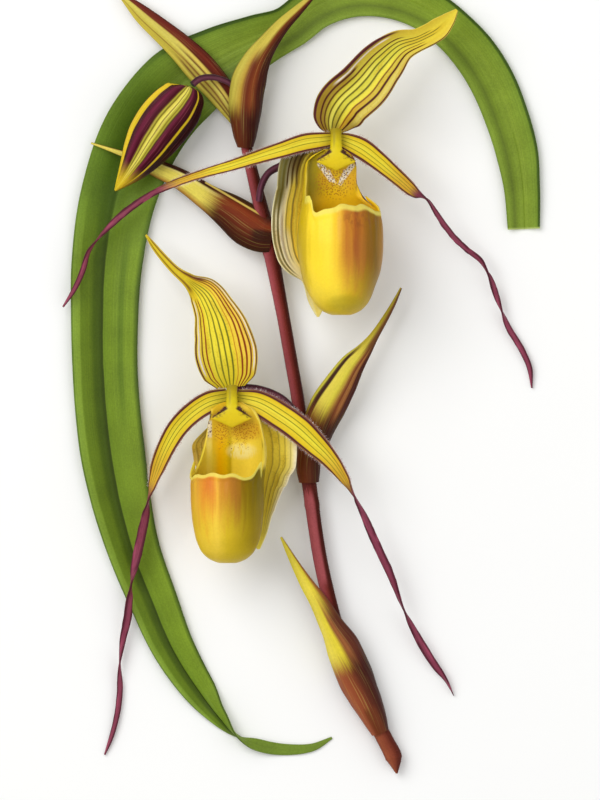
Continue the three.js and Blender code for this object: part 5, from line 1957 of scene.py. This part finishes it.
UPPER_SYNSEPAL_STREAKS = (
    Vein(0.93, 0.09, (110, 106, 50), 0.0, 0.3, 0.9, 0.16),
    Vein(0.79, 0.13, (104, 84, 36), 0.0, 0.12, 0.9, 0.12),
    Vein(0.77, 0.07, (252, 226, 58), 0.24, 0.46, 0.8, 0.08),
    Vein(0.86, 0.03, (182, 166, 150), 0.44, 0.62, 0.6, 0.08),
    Vein(0.975, 0.026, (128, 118, 56), 0.0, 0.7, 0.85, 0.1),
    Vein(0.915, 0.024, (108, 100, 44), 0.0, 0.66, 0.9, 0.1),
    Vein(0.86, 0.018, (80, 62, 24), 0.0, 0.2, 1.0, 0.08),
    Vein(0.8, 0.022, (74, 52, 22), 0.0, 0.18, 1.0, 0.08),
    Vein(0.74, 0.02, (80, 58, 24), 0.0, 0.2, 1.0, 0.08),
    Vein(0.8, 0.014, (126, 110, 50), 0.2, 0.62, 0.7),
    Vein(0.73, 0.016, (150, 132, 60), 0.2, 0.8, 0.9), Vein(0.68, 0.02, (230, 210, 72), 0.0, 0.7),
)
UPPER_SYNSEPAL_PLACES = (0.06, 0.13, 0.2, 0.28, 0.36, 0.45, 0.55, 0.64, 0.72, 0.8, 0.87, 0.94)
LOWER_SYNSEPAL_PLACES = (
    0.06, 0.12, 0.18, 0.25, 0.33, 0.42, 0.52, 0.6, 0.67, 0.73, 0.79, 0.85, 0.91, 0.96,
)

DOWN = {"Density": 1.1e6, "Length": 0.5 * MM, "Radius": 0.035 * MM, "Tilt": 0.5, "Seed": 3}
FRINGE = {"Density": 2.4e7, "Length": 1.25 * MM, "Radius": 0.04 * MM, "Tilt": 0.6, "Seed": 11}
BRISTLES = {"Density": 1.3e7, "Length": 0.9 * MM, "Radius": 0.06 * MM, "Tilt": 0.7, "Seed": 5}
WARTS = {"Density": 1.6e6, "Radius": 0.14 * MM, "Tilt": 0.2, "Seed": 7}


def synsepal_veins(places: Sequence[float], colour: Colour) -> tuple[Vein, ...]:
    """Even veins of one colour, at places across the sepal."""
    return tuple(Vein(place, 0.012, colour, 0.0, 0.9, 0.5) for place in places)


def petal_finish(name: str, veins: Sequence[float], tail: Span) -> VeinedFinish:
    """A petal's finish: yellow with green veins, purple margins and a purple tail.

    Args:
        name: The finish's name.
        veins: Where its green veins lie across.
        tail: Where its tail's colour starts and is full.

    Returns:
        The finish.
    """
    lines = [Vein(place, 0.024, (112, 112, 20), 0.0, 0.9, 0.85) for place in veins]
    lines += [Vein(place, 0.06, (78, 22, 38)) for place in (0.93, 0.07)]
    lines += [Vein(place, 0.02, (118, 58, 72), 0.05) for place in (1.0, 0.0)]
    edge = (130, 70, 60)
    ground = ((0.0, *edge), (0.14, *GOLD), (0.5, *LEMON), (0.86, *GOLD), (1.0, *edge))
    return VeinedFinish(
        name, ground, tuple(lines), OLIVE, (208, 150, 50), base_end=0.05, tip_start=tail[0] - 0.12,
        tip_end=tail[0], tail=tail, veinlets=0.12,
    )


# ---------------------------------------------------------------- the two flowers


class Side(Enum):
    """The two sides of a flower."""

    LEFT = "left"
    RIGHT = "right"


@dataclass(frozen=True)
class SepalLook:
    """One sepal: its rows, its finish, its raised veins and how finely it is made."""

    rows: Rows
    finish: VeinedFinish
    raised: tuple[float, ...]  # places across of the veins that stand out
    steps: int = 150
    across: int = 64
    fold: Optional[Place] = None


@dataclass(frozen=True)
class PetalLook:
    """One petal: its side, its rows, its green veins' places and the row its tail starts at."""

    side: Side
    rows: Rows
    veins: tuple[float, ...]
    turn: float


@dataclass(frozen=True)
class Bloom:
    """All that sets one open flower apart from the other."""

    flower: Flower
    dorsal: SepalLook
    synsepal: SepalLook
    ovary: Rows
    petals: tuple[PetalLook, ...]
    lip: LipShape
    column_root: Place  # right, down and height


UPPER_BLOOM = Bloom(
    Flower.UPPER,
    # The dorsal's dark base colour is partly painted shade where it meets the column.
    SepalLook(UPPER_DORSAL, VeinedFinish(
        "upper_dorsal_skin", UPPER_DORSAL_GROUND, UPPER_DORSAL_WASHES + UPPER_DORSAL_VEINS,
        (138, 108, 38), (232, 206, 58), base_end=0.22, tip_start=0.55, tip_end=0.75,
    ), tuple(vein.place for vein in UPPER_DORSAL_VEINS[1:8]), 170, 56, fold=(-1.0, 0.28, 0.55)),
    SepalLook(UPPER_SYNSEPAL, VeinedFinish(
        "upper_synsepal_skin", UPPER_SYNSEPAL_GROUND,
        synsepal_veins(UPPER_SYNSEPAL_PLACES[:7], (146, 132, 58)) + UPPER_SYNSEPAL_STREAKS,
        (104, 86, 36), (222, 208, 120), base_end=0.42, tip_start=0.55, tip_end=0.9,
        under=(226, 216, 160),
    ), UPPER_SYNSEPAL_PLACES),
    UPPER_OVARY,
    (
        PetalLook(Side.LEFT, UPPER_PETAL_LEFT, (0.42, 0.7), 7.3),
        PetalLook(Side.RIGHT, UPPER_PETAL_RIGHT, (0.3, 0.52, 0.72), 5.6),
    ),
    LipShape(UPPER_LIP, shoulder=0.49, front=0.65, corner=0.6, horn=0.715, turn=20, shelf=62),
    (336, 130, 22),
)
LOWER_BLOOM = Bloom(
    Flower.LOWER,
    SepalLook(LOWER_DORSAL, VeinedFinish(
        "lower_dorsal_skin", LOWER_DORSAL_GROUND, LOWER_DORSAL_VEINS,
        (206, 184, 30), (196, 168, 6), base_end=0.22, tip_start=0.5, tip_end=0.62,
    ), tuple(vein.place for vein in LOWER_DORSAL_VEINS[2:12]), 190, 60),
    SepalLook(LOWER_SYNSEPAL, VeinedFinish(
        "lower_synsepal_skin", LOWER_SYNSEPAL_GROUND,
        synsepal_veins(LOWER_SYNSEPAL_PLACES, (156, 136, 58)),
        (150, 136, 44), (240, 224, 90), base_end=0.26, tip_start=0.7, tip_end=0.95,
        under=(224, 216, 160),
    ), LOWER_SYNSEPAL_PLACES),
    LOWER_OVARY,
    (
        PetalLook(Side.LEFT, LOWER_PETAL_LEFT, (0.34, 0.52, 0.72), 6.4),
        PetalLook(Side.RIGHT, LOWER_PETAL_RIGHT, (0.3, 0.46, 0.68), 6.5),
    ),
    LipShape(LOWER_LIP, shoulder=0.45, front=0.55, corner=0.53, horn=0.63, turn=-20),
    (232, 386, 19.8),
)
BRACT_ROWS = {1: BRACT_1, 2: BRACT_2, 3: BRACT_3, 4: BRACT_4, 5: BRACT_5}
BRACT_KEELS = {1: 0.5 * MM, 2: 0.6 * MM, 3: 0.6 * MM, 4: 0.6 * MM, 5: 0.4 * MM}


# ---------------------------------------------------------------- the orchid


@dataclass
class Orchid:
    """The whole plant part: leaf, stalk, bracts, bud and two flowers."""

    plan: Plan
    hair: Cover = field(default_factory=lambda: Cover(Growth.HAIR))
    wart: Cover = field(default_factory=lambda: Cover(Growth.WART))

    def build_leaf(self) -> None:
        """Makes the strap leaf."""
        StrapLeaf("leaf_blade", "leaf", "leaf", LEAF, LeafFinish(), self.plan, steps=620,
                  thick=LEAF_THICK, across=40, fade_edge=0.5).build()

    def build_stalk(self) -> None:
        """Makes the flower stalk and its down."""
        stalk = FlowerStalk("stalk_skin", "flower_stalk", "stalk", STALK, StalkFinish(), self.plan,
                            steps=420, sides=44, joints=(0.41, 0.78))
        stalk.build()
        down = HairFinish("stalk_hair", (110, 48, 60), (150, 92, 96)).build(self.plan)
        self.hair.grow("stalk_down", stalk.mesh(), "stalk", down, DOWN)

    def build_bracts(self) -> None:
        """Makes the five bracts."""
        for number, rows in BRACT_ROWS.items():
            Bract(f"bract_{number}_blade", f"bract_{number}", "bract", rows,
                  BRACT_FINISHES[number], self.plan, steps=150, thick=BRACT_THICK, across=40,
                  keel=BRACT_KEELS[number], thin_start=0.7).build()

    def build_bud(self) -> None:
        """Makes the bud and its stalk."""
        Stem("bud_stalk_skin", "bud_stalk", "ovary", BUD_STALK, DownyFinish("bud_stalk_down"),
             self.plan, steps=80, sides=32).build()
        Bud("bud_skin", "bud", "bud", BUD, BudFinish(), self.plan, steps=140, sides=120,
            flatten=0.82).build()

    def build_petal(self, flower: Flower, look: PetalLook) -> None:
        """Makes one petal and the fringe along its margins.

        Args:
            flower: The flower that bears it.
            look: The petal's shape and veins.
        """
        name = f"{flower.value}_petal_{look.side.value}"
        path = Path(self.plan.metres(look.rows))
        tail = (path.share_of(look.turn - 0.5), path.share_of(look.turn + 0.6))
        finish = petal_finish(f"{name}_skin", look.veins, tail)
        petal = Petal(f"{name}_blade", name, "petal", look.rows, finish, self.plan, steps=320,
                      thick=PETAL_THICK, across=22, veins=look.veins)
        petal.build()
        hair = HairFinish(f"{name}_hair", (190, 150, 150), (244, 234, 228)).build(self.plan)
        margins = petal.margins((0.01, path.share_of(look.turn)))
        self.hair.grow(f"{name}_fringe", margins, "petal", hair, FRINGE)

    def build_lip(self, flower: Flower, shape: LipShape) -> None:
        """Makes one lip and the small warts on the inside of its back wall.

        Args:
            flower: The flower that bears it.
            shape: The lip's shape.
        """
        lip = SlipperLip(flower, shape, self.plan)
        lip.build()
        spotted = HairFinish(f"{flower.value}_wart", (150, 84, 26), (196, 130, 36))
        bib = lip.bib()
        self.wart.grow(f"{flower.value}_bib_warts", bib, "lip", spotted.build(self.plan), WARTS)

    def build_column(self, flower: Flower, root: Place) -> None:
        """Makes one column with its shield and the dark hairs on the shield's shoulders.

        Args:
            flower: The flower that bears it.
            root: Right, down and height of the column's root.
        """
        x, y, z = root
        rows = [(x, y + down, z + rise, half, deep) for down, rise, half, deep in COLUMN_SHAPE]
        name = f"{flower.value}_column"
        wedges = tuple(((x + side * 20, y + 30), (x + side * 6, y + 22)) for side in (-1, 1))
        column = Stem(f"{name}_body", name, "column", rows, ColumnFinish(f"{name}_wax", wedges),
                      self.plan, steps=110, sides=64)
        column.build()
        dark = HairFinish(f"{name}_hair", (72, 22, 40), (120, 66, 84)).build(self.plan)
        self.hair.grow(f"{name}_bristles", self._shoulders(column.mesh(), root), "column", dark,
                       BRISTLES)

    def _shoulders(self, whole: Mesh, root: Place) -> Mesh:
        """The faces of a column along the upper edges of its shield.

        Args:
            whole: The column's mesh, which is removed.
            root: Right, down and height of the column's root.

        Returns:
            A mesh of those faces alone.
        """
        middle, top = self.plan.metres([(root[0], root[1] + SHIELD_TOP, 0, 0)])[0, :2]
        inner, lowest, highest = 2.2 * MM, top - 3.6 * MM, top + 0.4 * MM
        chosen = [
            list(face.vertices) for face in whole.polygons
            if abs(face.center.x - middle) > inner and lowest < face.center.y < highest
            and face.normal.y > 0.05
        ]
        return cut_out(whole, "shoulders", chosen)

    def build_flower(self, bloom: Bloom) -> None:
        """Makes one open flower.

        Args:
            bloom: What sets it apart from the other.
        """
        name = bloom.flower.value
        sepals = (
            ("dorsal", "dorsal_sepal", bloom.dorsal), ("synsepal", "synsepal", bloom.synsepal)
        )
        for piece, node, look in sepals:
            Sepal(f"{name}_{piece}_blade", f"{name}_{node}", "sepal", look.rows, look.finish,
                  self.plan, steps=look.steps, thick=SEPAL_THICK, across=look.across,
                  veins=look.raised, fold=look.fold).build()
        Stem(f"{name}_ovary_skin", f"{name}_ovary", "ovary", bloom.ovary,
             DownyFinish(f"{name}_ovary_down"), self.plan, steps=90, sides=36).build()
        for look in bloom.petals:
            self.build_petal(bloom.flower, look)
        self.build_lip(bloom.flower, bloom.lip)
        self.build_column(bloom.flower, bloom.column_root)

    def build(self) -> None:
        """Makes every piece in turn."""
        self.build_leaf()
        self.build_stalk()
        self.build_bracts()
        self.build_bud()
        for bloom in (UPPER_BLOOM, LOWER_BLOOM):
            self.build_flower(bloom)


# ---------------------------------------------------------------- the studio


@dataclass(frozen=True)
class Panel:
    """One square light that points at the plant."""

    name: str
    place: Place
    size: float
    power: float

    def build(self) -> None:
        """Hangs the light."""
        lamp = bpy.data.lights.new(self.name, "AREA")
        lamp.size, lamp.energy = self.size, self.power
        holder = bpy.data.objects.new(self.name, lamp)
        holder.location = self.place
        holder.visible_camera = False
        holder.rotation_euler = (-Vector(self.place)).to_track_quat("-Z", "Y").to_euler()
        bpy.context.scene.collection.objects.link(holder)


@dataclass
class Studio:
    """The floor, the lights and the camera that looks straight down."""

    plan: Plan
    picture: tuple[int, int] = (600, 800)  # the plan's width and height in grid units
    lens: float = 800.0
    sensor: float = 36.0
    clip: Span = (0.1, 20.0)
    sharp_height: float = 0.005  # height above the floor at which the plan's scale is true
    floor_reach: float = 12.0
    sky: float = 0.54
    panels: tuple[Panel, ...] = (
        Panel("key", (-0.7, 0.55, 1.15), 1.1, 13.0), Panel("fill", (0.9, -0.3, 1.0), 1.4, 5.0),
    )

    def build(self) -> None:
        """Sets up the studio."""
        self.build_floor()
        self.build_lights()
        self.build_camera()

    def build_camera(self) -> None:
        """Hangs the camera over the middle of the plan."""
        camera = bpy.data.cameras.new("overhead")
        camera.lens, camera.sensor_width = self.lens, self.sensor
        camera.clip_start, camera.clip_end = self.clip
        far = self.lens * self.picture[1] * GRID / self.sensor
        hanger = bpy.data.objects.new("overhead", camera)
        centre = self.plan.metres([(self.picture[0] / 2, self.picture[1] / 2, 0, 0)])[0]
        hanger.location = (centre[0], centre[1], far + self.sharp_height)
        bpy.context.scene.collection.objects.link(hanger)
        bpy.context.scene.camera = hanger

    def build_floor(self) -> None:
        """Lays the plain pale floor."""
        far = self.floor_reach
        mesh = bpy.data.meshes.new("floor")
        corners = [(-far, -far, 0), (far, -far, 0), (far, far, 0), (-far, far, 0)]
        mesh.from_pydata(corners, [], [(0, 1, 2, 3)])
        mesh.materials.append(FloorFinish().build(self.plan))
        floor = bpy.data.objects.new("floor", mesh)
        bpy.context.scene.collection.objects.link(floor)

    def build_lights(self) -> None:
        """Hangs a broad key light up and to the left, a fill and a pale sky."""
        for panel in self.panels:
            panel.build()
        world = bpy.data.worlds.new("sky")
        world.use_nodes = True
        sky = world.node_tree.nodes["Background"]
        sky.inputs["Color"].default_value = tone(252, 252, 252)
        sky.inputs["Strength"].default_value = self.sky
        bpy.context.scene.world = world
        bpy.context.scene.view_settings.view_transform = "Standard"


def main() -> None:
    """Builds the orchid and its studio."""
    logging.basicConfig(level=logging.INFO, format="%(name)s %(message)s")
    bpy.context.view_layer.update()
    plan = Plan()
    LOG.info("plan shift %s", np.round(plan.shift / MM, 4).tolist())
    Studio(plan).build()
    Orchid(plan).build()


if __name__ == "__main__":
    main()
